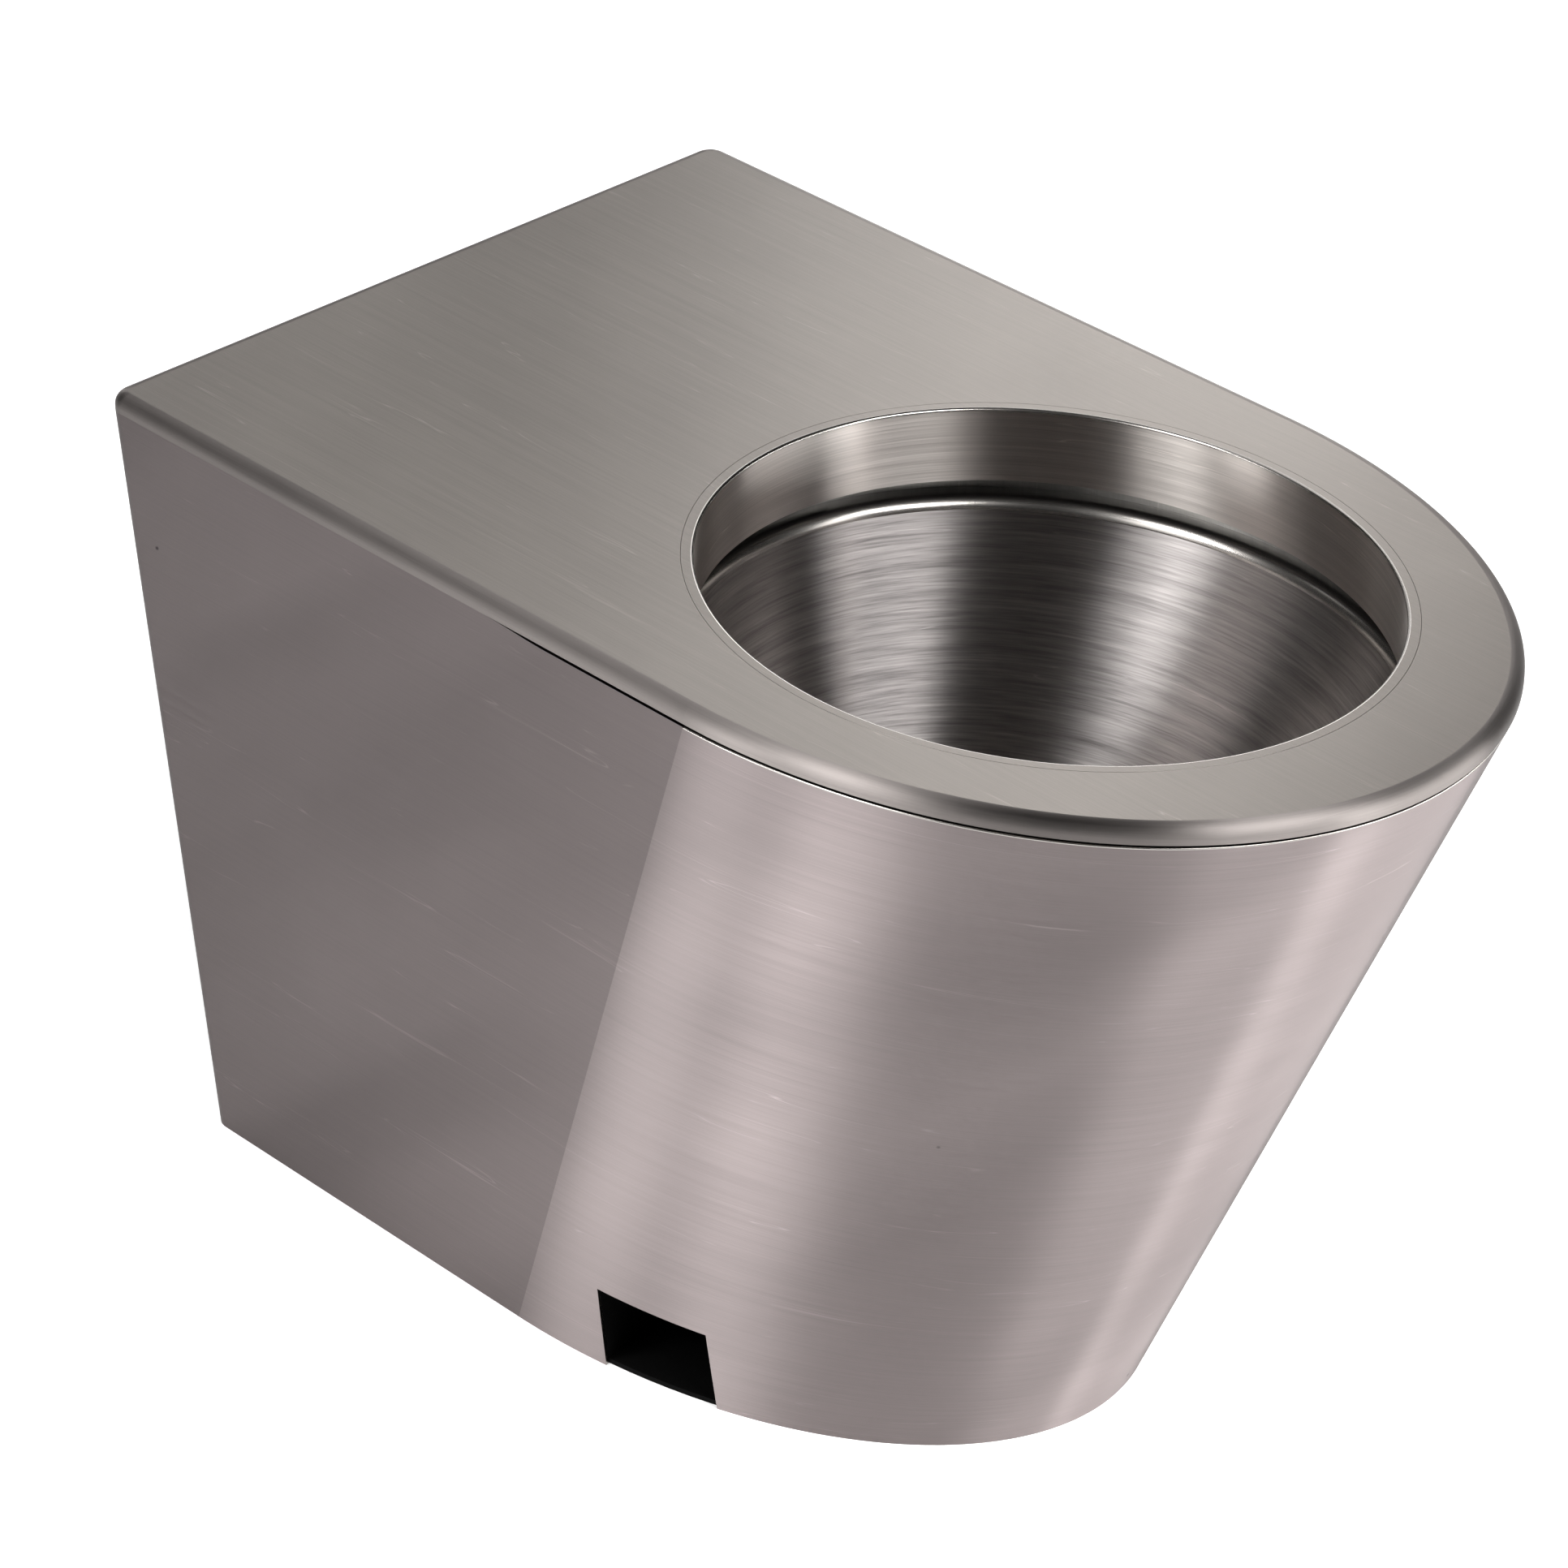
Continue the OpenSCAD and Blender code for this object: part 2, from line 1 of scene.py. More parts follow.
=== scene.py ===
# %% [markdown]
# # A brushed stainless steel toilet pan
#
# The pan is welded from thin sheet: a flat deck with an oval opening, an upright collar round that
# opening, a conical bowl, and a skirt that leans in towards the floor. Steel has almost no colour of
# its own, so what makes it look like steel is what it mirrors, and how the brushing smears that.
# So the care here goes into smooth surfaces, the brushed grain and the lights.
#
# The solids of the pan come ready from a CAD model.

# %% Load the CAD frame
import math
import bmesh
import bpy
import numpy as np
from mathutils import Matrix, Vector


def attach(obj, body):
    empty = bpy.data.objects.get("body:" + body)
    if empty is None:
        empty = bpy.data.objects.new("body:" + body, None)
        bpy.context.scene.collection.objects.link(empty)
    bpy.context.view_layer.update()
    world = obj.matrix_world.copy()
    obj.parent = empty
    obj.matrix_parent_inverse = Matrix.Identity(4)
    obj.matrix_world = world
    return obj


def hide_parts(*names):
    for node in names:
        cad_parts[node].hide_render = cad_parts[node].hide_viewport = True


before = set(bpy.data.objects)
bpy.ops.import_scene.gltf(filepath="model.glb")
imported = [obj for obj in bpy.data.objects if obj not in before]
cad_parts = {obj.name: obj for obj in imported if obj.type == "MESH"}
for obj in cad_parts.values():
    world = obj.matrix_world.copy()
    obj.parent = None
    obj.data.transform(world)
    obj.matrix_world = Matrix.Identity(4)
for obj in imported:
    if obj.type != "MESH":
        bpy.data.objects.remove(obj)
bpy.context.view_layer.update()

# %% [markdown]
# The visible sheets are built again here, because CAD meshes are faceted and a facet shows at once
# in a mirror-like metal. The sizes are those of the CAD part, in millimetres, and distances along
# the pan are counted from the wall, so that y is 0 there and negative towards the nose.

# %% Sizes shared with the CAD part
MM = 0.001
body_w, body_d, body_h = 360.0, 600.0, 400.0  # the whole pan
nose_l, foot_w, foot_d, foot_nose_l = 238.0, 275.0, 436.0, 223.0  # the nose and the foot
corner_r, sheet_t, return_w = 10.0, 2.0, 25.0  # rear corner, sheet, flange along the wall
edge_r, rim_h, joint_gap, joint_y = 6.0, 8.0, 1.6, 262.0  # the deck's edge and the joint below it
opening_w, opening_l, opening_y, collar_h = 272.0, 310.0, 389.0, 35.0  # the opening and its collar
collar_r, collar_flange, channel_w, gap_h = 2.8, 2.4, 15.0, 13.0  # collar's top, flushing channel
mouth_out, shoulder_r, sump_z, sump_w, rake = 5.0, 7.0, 140.0, 160.0, 0.2  # the bowl and its lean
notch_w, notch_h, notch_turn, seat = 58.0, 46.0, math.radians(21.5), 0.2  # foot notch, weld's gap
deck_under, skirt_h = body_h - sheet_t, body_h - rim_h
collar_z = body_h - collar_h
mouth_z = collar_z - gap_h
stretch = opening_l/opening_w
open_r = opening_w/2
hole_r = open_r + collar_r + collar_flange
channel_out_r = open_r + sheet_t + channel_w + sheet_t
print("opening", opening_w, "by", opening_l, "mm, ledge at", mouth_z, "mm")

# %% [markdown]
# A curved sheet can be modelled with a subdivided cage, cut with booleans, or worked out from a
# formula. The formula wins for polished metal: every point lies exactly on the surface, and so does
# every normal, which is what a reflection follows. Each face of a sheet is a function of two
# parameters, evaluated on a grid in one go, and is called a patch here.

# %% One patch of a sheet
def steps(low, high, count):
    """Evenly spaced values from low to high, count cells of them."""
    return np.linspace(low, high, count + 1)


def mix(a, b, share):
    """Value at a share of the way from a to b."""
    return a + (b - a)*share


def patch(shape, u, v, uv=None, finish=0):
    """Points shape(u, v) on the grid u by v, with unit normals. A whole number stands for that many
    even cells from 0 to 1. A normal is the cross product of the two tangents, each the difference
    between the points a small step ahead and a small step behind. uv gives the brushing coordinates."""
    u, v = [steps(0, 1, w) if isinstance(w, int) else w for w in (u, v)]
    U, V = np.meshgrid(u, v, indexing="ij")
    step_u, step_v = 1e-4*(U[-1, 0] - U[0, 0]), 1e-4*(V[0, -1] - V[0, 0])
    points = shape(U, V)
    along = shape(U + step_u, V) - shape(U - step_u, V)
    across = shape(U, V + step_v) - shape(U, V - step_v)
    normals = np.cross(along, across)
    normals /= np.linalg.norm(normals, axis=-1, keepdims=True) + 1e-15
    coords = uv(U, V, points) if uv else points[..., :2]*MM
    return dict(points=points, normals=normals, uv=coords, finish=finish)


level_patch = patch(lambda u, v: np.stack([u, v, 0*u], axis=-1), 2, 2)
print("normal of a level patch:", level_patch["normals"][0, 0].round(6))

# %% [markdown]
# A mesh needs triangles. The grid of a patch is cut into cells, and each cell into two triangles, by
# counting its corners row by row. All patches of a piece are then laid end to end in shared arrays,
# so the corner numbers of each start where those of the one before it end.

# %% Patches laid end to end
def grid_triangles(n, m):
    """Two triangles for each cell of an n by m grid, as corner numbers counted row by row."""
    i, j = np.meshgrid(np.arange(n - 1), np.arange(m - 1), indexing="ij")
    a = (i*m + j).ravel()
    b, c, d = a + m, a + m + 1, a + 1
    return np.concatenate([np.stack([a, b, c], 1), np.stack([a, c, d], 1)])


def join_patches(patches):
    """Points, normals, brushing coordinates, corner numbers and finishes of all the patches."""
    sizes = [p["points"].shape[0]*p["points"].shape[1] for p in patches]
    starts = np.cumsum([0] + sizes[:-1])
    corners = [grid_triangles(*p["points"].shape[:2]) + start for p, start in zip(patches, starts)]
    finishes = [np.full(len(c), p["finish"]) for c, p in zip(corners, patches)]
    points = np.concatenate([p["points"].reshape(-1, 3) for p in patches])
    normals = np.concatenate([p["normals"].reshape(-1, 3) for p in patches])
    coords = np.concatenate([p["uv"].reshape(-1, 2) for p in patches])
    return points, normals, coords, np.concatenate(corners), np.concatenate(finishes)


print("two level patches have", len(join_patches([level_patch, level_patch])[3]), "triangles")

# %% [markdown]
# A closed sheet has a volume, and each of its edges belongs to two triangles. Both are worth printing
# for every piece: a negative volume tells of a piece turned inside out, and an open edge of a gap.

# %% Facts about a closed sheet
def sheet_facts(place, faces):
    """Volume in cubic millimetres, and how many edges don't belong to two triangles.
    The volume is the sum of a . (b x c)/6 over the triangles, with a, b and c their corners."""
    a, b, c = place[faces[:, 0]], place[faces[:, 1]], place[faces[:, 2]]
    volume = np.einsum("ij,ij->i", a, np.cross(b, c)).sum()/6/MM**3
    edges = np.sort(np.concatenate([faces[:, :2], faces[:, 1:], faces[:, ::2]]), axis=1)
    _, uses = np.unique(edges, axis=0, return_counts=True)
    return volume, np.sum(uses != 2)


_, level_gaps = sheet_facts(level_patch["points"].reshape(-1, 3), grid_triangles(3, 3))
print("a level patch isn't closed and has", level_gaps, "open edges")

# %% [markdown]
# To make a piece, points that coincide are merged, which closes the seams between its patches. Each
# corner of a triangle keeps the normal of its own patch, so a folded edge stays crisp although its
# points are shared. The brushing coordinates become a UV map.

# %% From patches to a piece
round_len = 600.0  # brushing length from the right flank round the nose to the left one
merge_digits = 3   # points closer than a thousandth of a millimetre are one point


def add_object(name, data):
    """Puts new data into the scene as an object."""
    obj = bpy.data.objects.new(name, data)
    bpy.context.scene.collection.objects.link(obj)
    return obj


def make_piece(name, patches, node, materials, mirror=False):
    """Joins patches into one mesh in the pan's frame and lets it stand for a CAD node. Triangles
    that have shrunk to a line are left out, and mirror turns a right piece into a left one."""
    points, normals, coords, corners, finishes = join_patches(patches)
    if mirror:
        points, normals, corners = points*[-1, 1, 1], normals*[-1, 1, 1], corners[:, ::-1]
        coords = [-round_len*MM, 0] + coords*[-1, 1]
    _, first, merged = np.unique(
        np.round(points, merge_digits), axis=0, return_index=True, return_inverse=True)
    faces = merged.reshape(-1)[corners]
    keep = np.all(faces != np.roll(faces, 1, axis=1), axis=1)
    faces, corners, finishes = faces[keep], corners[keep], finishes[keep]
    place = (points[first] + [0, body_d/2, 0])*MM
    mesh = bpy.data.meshes.new(name)
    mesh.from_pydata(place.tolist(), [], faces.tolist())
    mesh.polygons.foreach_set("material_index", finishes.astype(np.int32))
    mesh.polygons.foreach_set("use_smooth", np.ones(len(faces), bool))
    layer = mesh.uv_layers.new(name="brushing")
    layer.data.foreach_set("uv", coords[corners].ravel())
    for material in materials:
        mesh.materials.append(material)
    mesh.normals_split_custom_set(normals[corners].reshape(-1, 3).tolist())
    mesh.update()
    obj = add_object(name, mesh)
    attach(obj, "root")
    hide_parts(node)
    volume, gaps = sheet_facts(place, faces)
    print(f"{name}: {len(faces)} triangles, {volume:.0f} mm3 of sheet, {gaps} open edges")


print("points are merged to", 10**-merge_digits, "mm")

# %% [markdown]
# The materials come next, because each sheet needs one when it is made. On real brushed steel a belt
# has left thousands of fine parallel scratches. They blur a reflection much more across the lines
# than along them, which draws every highlight out into a band. Three things carry that here: the
# Anisotropic setting with a tangent along the lines, a very fine bump, and a slight change of tone
# and roughness from line to line. The lines are one node group, used by every steel with its own
# direction and strength.

# %% Helpers for node trees
def fill(tree, made, inputs):
    """Links a node's inputs to output sockets, or sets them to values."""
    for key, value in inputs.items():
        if isinstance(value, bpy.types.NodeSocket):
            tree.links.new(value, made.inputs[key])
        else:
            made.inputs[key].default_value = value


def node(tree, kind, settings=None, inputs=None):
    """Adds a shader node of a kind, sets its properties and fills its inputs."""
    made = tree.nodes.new("ShaderNode" + kind)
    for key, value in (settings or {}).items():
        setattr(made, key, value)
    fill(tree, made, inputs or {})
    return made


def maths(tree, operation, a, b=0.0, clamp=False):
    """Adds a Math node and gives its result."""
    made = node(tree, "Math", {"operation": operation, "use_clamp": clamp}, {0: a, 1: b})
    return made.outputs[0]


def product(tree, *values):
    """Product of all the values, as a chain of Math nodes."""
    result = values[0]
    for value in values[1:]:
        result = maths(tree, "MULTIPLY", result, value)
    return result


def spread(tree, value, low, high, to_low=0.0, to_high=1.0):
    """Straight ramp of a value from one range to another, held at its ends."""
    made = node(tree, "MapRange", {}, {
        "Value": value, "From Min": low, "From Max": high, "To Min": to_low, "To Max": to_high})
    return made.outputs[0]


def noise(tree, vector, scale, detail, roughness=0.5, distortion=0.0):
    """Adds a Noise Texture and gives its value."""
    made = node(tree, "TexNoise", {}, {
        "Vector": vector, "Scale": scale, "Detail": detail, "Roughness": roughness,
        "Distortion": distortion})
    return made.outputs["Fac"]


print("helpers for nodes are ready")

# %% [markdown]
# The lines could be drawn by a wave texture, but it repeats. Noise doesn't: squeezed across the lines
# and drawn out along them, it turns into streaks of uneven length and strength. One layer is as fine
# as the belt's grit, one is coarser, and a soft cloud varies the whole sheet.

# %% The brushed lines
def new_group(name, defaults, outputs):
    """Node group with a Vector input, named numbers to set and numbers as results."""
    group = bpy.data.node_groups.new(name, "ShaderNodeTree")
    group.interface.new_socket(name="Vector", in_out="INPUT", socket_type="NodeSocketVector")
    for label, value in defaults.items():
        socket = group.interface.new_socket(name=label, in_out="INPUT", socket_type="NodeSocketFloat")
        socket.default_value = value
    for label in outputs:
        group.interface.new_socket(name=label, in_out="OUTPUT", socket_type="NodeSocketFloat")
    return group, group.nodes.new("NodeGroupInput"), group.nodes.new("NodeGroupOutput")


def build_brushing():
    """Noise squeezed across the lines and drawn out along them, at a fine and a coarse width."""
    group, given, result = new_group(
        "brushed lines", {"Lines per metre": 1500.0, "Streaks per metre": 25.0},
        ["Fine", "Coarse", "Cloud"])
    split = node(group, "SeparateXYZ", {}, {0: given.outputs["Vector"]})
    for label, across, along, detail in (("Fine", 1.0, 1.0, 3.0), ("Coarse", 0.22, 0.35, 4.0)):
        x = product(group, given.outputs["Streaks per metre"], along, split.outputs[0])
        y = product(group, given.outputs["Lines per metre"], across, split.outputs[1])
        place = node(group, "CombineXYZ", {}, {0: x, 1: y})
        fill(group, result, {label: noise(group, place.outputs[0], 1.0, detail, 0.65)})
    fill(group, result, {"Cloud": noise(group, given.outputs["Vector"], 9.0, 3.0)})
    return group


brushing = build_brushing()
print("node group:", brushing.name)

# %% [markdown]
# A used pan is never clean brushed steel. It has a few stray scratches that cross the grain and some
# tiny dark pits, which a second group makes as masks. The same group gives a soft painted shade: a
# broad noise, drawn out along a diagonal, that darkens and lightens the steel in soft swathes like the
# shading of its reflections. Pits are the centres of a sparse cell pattern, and scratches are thin
# slices through a stretched noise, shown only where another noise allows, which leaves most of the
# sheet clean.

# %% Wear marks and painted shade
cells_per_metre, clean_share = 22.0, 0.72  # cells of the pits, and the share of them without a pit
pit_core, pit_rim, scratch_half = 0.012, 0.03, 0.012  # a pit's radii in cells, a scratch in noise
scratch_turns = ((0.12, 0.0), (-0.3, 5.0))  # turn of the scratches, and where their noise is read
shade_turn = math.radians(50)


def build_marks_and_shade():
    """Masks for scratches and pits, 1 on the mark and 0 elsewhere, and a soft noise for painted shade."""
    group, given, result = new_group("wear and painted shade", {}, ["Scratches", "Pits", "Painted shade"])
    cells = node(group, "TexVoronoi", {"feature": "F1"}, {
        "Vector": given.outputs["Vector"], "Scale": cells_per_metre, "Randomness": 1.0})
    chosen = node(group, "SeparateColor", {}, {0: cells.outputs["Color"]})
    near = spread(group, cells.outputs["Distance"], pit_core, pit_rim, 1.0, 0.0)
    rare = maths(group, "GREATER_THAN", chosen.outputs[0], clean_share)
    total = None
    for turn, seed in scratch_turns:
        turned = node(group, "Mapping", {}, {
            "Vector": given.outputs["Vector"], "Location": (seed, seed, 0.0),
            "Rotation": (0.0, 0.0, turn), "Scale": (9.0, 220.0, 1.0)})
        lines = noise(group, turned.outputs[0], 1.0, 1.0, distortion=0.15)
        from_middle = maths(group, "ABSOLUTE", maths(group, "SUBTRACT", lines, 0.5))
        thin = spread(group, from_middle, 0.0, scratch_half, 1.0, 0.0)
        allowed = spread(group, noise(group, turned.outputs[0], 0.55, 2.0), 0.6, 0.68)
        part = product(group, thin, allowed)
        total = part if total is None else maths(group, "MAXIMUM", total, part)
    # Painted shade: a broad noise drawn out along a diagonal, with which the steels darken and lighten in
    # soft swathes.
    diagonal_shade = node(group, "Mapping", {"vector_type": "TEXTURE"}, {
        "Vector": given.outputs["Vector"], "Rotation": (0.0, 0.0, shade_turn),
        "Scale": (0.55, 0.13, 1.0)})
    fill(group, result, {"Scratches": total, "Pits": product(group, near, rare),
                         "Painted shade": noise(group, diagonal_shade.outputs[0], 1.0, 2.0, 0.4, 0.3)})
    return group


marks_and_shade = build_marks_and_shade()
print("node group:", marks_and_shade.name)

# %% [markdown]
# One function makes each steel. Its colour is the metal's own tint, darkened and lightened a little
# by the lines, and its roughness rides on them too. The bump is two hundredths of a millimetre deep.
# Sheets made here carry their own brushing coordinates in metres, along the lines and across them.
# The CAD nodes have none, so theirs are taken from Object coordinates, and they aren't anisotropic.

# %% A brushed steel
noise_low, noise_high = 0.3, 0.7  # most of a noise lies between these
fine_share, rough_sway = 0.55, 0.12  # how much the fine lines count, how far they sway roughness
scratch_light, pit_dark = 0.35, 0.8  # how much lighter a scratch is, and how much darker a pit
line_depth, pit_depth = 0.02*MM, 2.0  # height of the lines, and a pit's depth as a share of it
quarter_turn = 0.25  # turns the blur from along the tangent to across it


def sway(tree, value, middle, amount):
    """Middle minus the amount where a noise is low, and middle plus the amount where it is high."""
    return spread(tree, value, noise_low, noise_high, middle - amount, middle + amount)


def wire_up(tree, shader, tint, level, rough, bump, depth, height):
    """Gives a shader its colour, which is tint times level, its roughness and its relief."""
    colour = node(tree, "VectorMath", {"operation": "SCALE"}, {0: tint, "Scale": level})
    relief = node(tree, "Bump", {}, {"Strength": bump, "Distance": depth, "Height": height})
    fill(tree, shader, {
        "Base Color": colour.outputs[0], "Roughness": rough, "Normal": relief.outputs[0]})


def new_material(name):
    """New material, its node tree and its shader."""
    material = bpy.data.materials.new(name)
    material.use_nodes = True
    return material, material.node_tree, material.node_tree.nodes["Principled BSDF"]


def make_steel(name, tint, roughness, anisotropy=0.0, lines=1500.0, streaks=25.0, contrast=0.12,
               bump=0.35, wear=1.0, shade_amount=0.05):
    """Brushed steel. Its colour is tint x lines x cloud x (1 + scratches) x painted shade x (1 - pits).
    Only a steel with anisotropy needs the brushing coordinates of a rebuilt sheet."""
    material, tree, shader = new_material(name)
    fill(tree, shader, {"Metallic": 1.0})
    if anisotropy:
        coords = node(tree, "UVMap", {"uv_map": "brushing"}).outputs[0]
        tangent = node(tree, "Tangent", {"direction_type": "UV_MAP", "uv_map": "brushing"})
        fill(tree, shader, {"Anisotropic": anisotropy, "Anisotropic Rotation": quarter_turn,
                            "Tangent": tangent.outputs[0]})
    else:
        coords = node(tree, "TexCoord").outputs["Object"]
    lines_node = node(tree, "Group", {"node_tree": brushing}, {
        "Vector": coords, "Lines per metre": lines, "Streaks per metre": streaks})
    wear_and_shade_node = node(tree, "Group", {"node_tree": marks_and_shade}, {"Vector": coords})
    grain = maths(tree, "ADD", product(tree, lines_node.outputs["Fine"], fine_share),
                  product(tree, lines_node.outputs["Coarse"], 1.0 - fine_share))
    tone = sway(tree, grain, 1.0, contrast)
    cloud = sway(tree, lines_node.outputs["Cloud"], 1.0, 0.04)
    scratch = maths(tree, "ADD", product(tree, wear_and_shade_node.outputs["Scratches"], scratch_light*wear), 1.0)
    pits = maths(tree, "MULTIPLY", wear_and_shade_node.outputs["Pits"], wear, clamp=True)
    # Painted shade: a broad diagonal noise sways the colour a little, more on the skirt, in soft swathes
    # that stand in for shading.
    diagonal_shade = spread(tree, wear_and_shade_node.outputs["Painted shade"], 0.35, 0.65, 1.0 - shade_amount, 1.0 + shade_amount)
    clean = maths(tree, "SUBTRACT", 1.0, product(tree, pits, pit_dark))
    level = product(tree, tone, cloud, scratch, diagonal_shade, clean)
    rough = sway(tree, grain, roughness, roughness*rough_sway)
    height = maths(tree, "SUBTRACT", grain, product(tree, pits, pit_depth))
    wire_up(tree, shader, tint, level, rough, bump, line_depth, height)
    return material


print("a pit is", pit_depth*line_depth/MM, "mm deep")

# %% [markdown]
# Eight tunings follow, because no two parts of the pan saw the same tools. The deck and the skirt were
# brushed by a belt in long strokes, and the skirt gets more of the painted diagonal shade. The flanks
# are the apron's steel at three quarters of its tint, which is painted shade. The rolled rim is brushed
# along its run, and it is rougher than the flat deck. Cut and ground edges are almost bright. The
# collar and the bowl were ground by hand, so their lines are strong and uneven, and the bowl's are
# also wide. The pieces inside are plain mill steel.

# %% The steels
deck_steel = make_steel("deck steel", (0.22, 0.2, 0.183), 0.32, 0.9, streaks=14.0)
skirt_steel = make_steel("skirt steel", (0.262, 0.227, 0.224), 0.45, 1.0, streaks=14.0, shade_amount=0.12)
# Painted shade: the skirt's steel with its tint cut to three quarters, so the flanks read darker than the
# apron.
flank_shade_steel = make_steel("flank shade steel", (0.195, 0.168, 0.166), 0.45, 1.0, streaks=14.0, shade_amount=0.12)
rim_steel = make_steel("rim steel", (0.235, 0.213, 0.203), 0.46, 0.95, wear=0.5)
edge_steel = make_steel("edge steel", (0.38, 0.36, 0.34), 0.25, 0.3, wear=0.5)
collar_steel = make_steel("collar steel", (0.62, 0.575, 0.54), 0.32, 1.0,
                          streaks=10.0, contrast=0.2, bump=0.6)
bowl_steel = make_steel("bowl steel", (0.39, 0.365, 0.356), 0.36, 1.0,
                        lines=700.0, streaks=28.0, contrast=0.45, bump=0.6)
inner_steel = make_steel("inner steel", (0.42, 0.42, 0.41), 0.42)
print("steels:", [m.name for m in bpy.data.materials if m.name.endswith(" steel")])

# %% [markdown]
# Three finishes aren't bare steel. The pockets behind the foot notches and the strip behind the open
# joint are near black and matt, which paints in the shade inside the notches and the joint. The bush
# in the flush socket is rubber, and the pads that deaden the sheet are a grainy mat. A plain colour
# would look like plastic, so each gets a fine speckle.

# %% Black for painted shade, rubber and pads
speck_height = 0.2*MM


def make_matt(name, colour, roughness, grain_scale, bump, gloss):
    """Matt finish: a fine noise sways its colour by a quarter and its roughness by 0.08."""
    material, tree, shader = new_material(name)
    coords = node(tree, "TexCoord").outputs["Object"]
    speck = noise(tree, coords, grain_scale, 4.0, 0.6)
    level, rough = sway(tree, speck, 1.0, 0.25), sway(tree, speck, roughness, 0.08)
    wire_up(tree, shader, colour, level, rough, bump, speck_height, speck)
    fill(tree, shader, {"Specular IOR Level": gloss})
    return material


# Painted shade: near black for the pockets and the joint strip, whose insides lie in shade.
painted_shade_black = make_matt("painted shade black", (0.003, 0.003, 0.003), 0.8, 900.0, 0.3, 0.05)
seal_rubber = make_matt("seal rubber", (0.02, 0.02, 0.02), 0.55, 700.0, 0.2, 0.4)
damping_mat = make_matt("damping mat", (0.05, 0.05, 0.055), 0.75, 350.0, 0.6, 0.2)
print("matt finishes:", [m.name for m in (painted_shade_black, seal_rubber, damping_mat)])

# %% [markdown]
# ## The deck
#
# The deck is one sheet: flat on top, rolled over a 6 mm radius at its edge and turned down into a
# short rim. Seen from above it is a D with an elliptical nose and two small rear corners. Its outline
# is written in six runs, each a function of how far along the run and how far in from the edge. With
# each go its number of steps and the two turns of the hole's oval that lie opposite its ends.

# %% The outline of the deck
def at(x, y, z):
    """Joins three arrays to points."""
    return np.stack(np.broadcast_arrays(x, y, z), axis=-1).astype(float)


def nose_run(t, inset):
    """Half an ellipse from the right flank round the nose to the left flank."""
    return (body_w/2 - inset)*np.cos(math.pi*t), nose_l - body_d - (nose_l - inset)*np.sin(math.pi*t)


def straight_run(start, end, inward):
    """Straight from one corner to another, moved by the inset in the direction inward."""
    return lambda t, inset: [mix(a, b, t) + n*inset for a, b, n in zip(start, end, inward)]


def corner_run(side, first, last):
    """Quarter circle round a rear corner, between two angles in degrees."""
    def run(t, inset):
        angle = np.radians(mix(first, last, t))
        return (side*(body_w/2 - corner_r) + (corner_r - inset)*np.cos(angle),
                -corner_r + (corner_r - inset)*np.sin(angle))
    return run


half, front_y = body_w/2, nose_l - body_d
outline_runs = [
    (nose_run, 160, 0, 180),
    (straight_run((-half, front_y), (-half, -corner_r), (1, 0)), 30, 180, 228),
    (corner_run(-1, 180, 90), 12, 228, 246),
    (straight_run((corner_r - half, 0), (half - corner_r, 0), (0, -1)), 30, 246, 294),
    (corner_run(1, 90, 0), 12, 294, 312),
    (straight_run((half, -corner_r), (half, front_y), (-1, 0)), 30, 312, 360)]
print("deck outline:", len(outline_runs), "runs,", sum(r[1] for r in outline_runs), "steps round")

# %% [markdown]
# The section across the edge is carried round those runs, and the flat top is stretched between the
# outline and the oval hole. The belt ran over the flat from the wall to the nose, but the edge was
# finished along its own run. So the roll and the rim get coordinates that are walked along the edge,
# and a finish of their own. A bevel would round the edge as well, but it gives no such coordinates.

# %% The deck's patches
def along_y(U, V, points):
    """Brushing coordinates for lines that run from the wall to the nose."""
    return np.stack([points[..., 1], points[..., 0]], -1)*MM


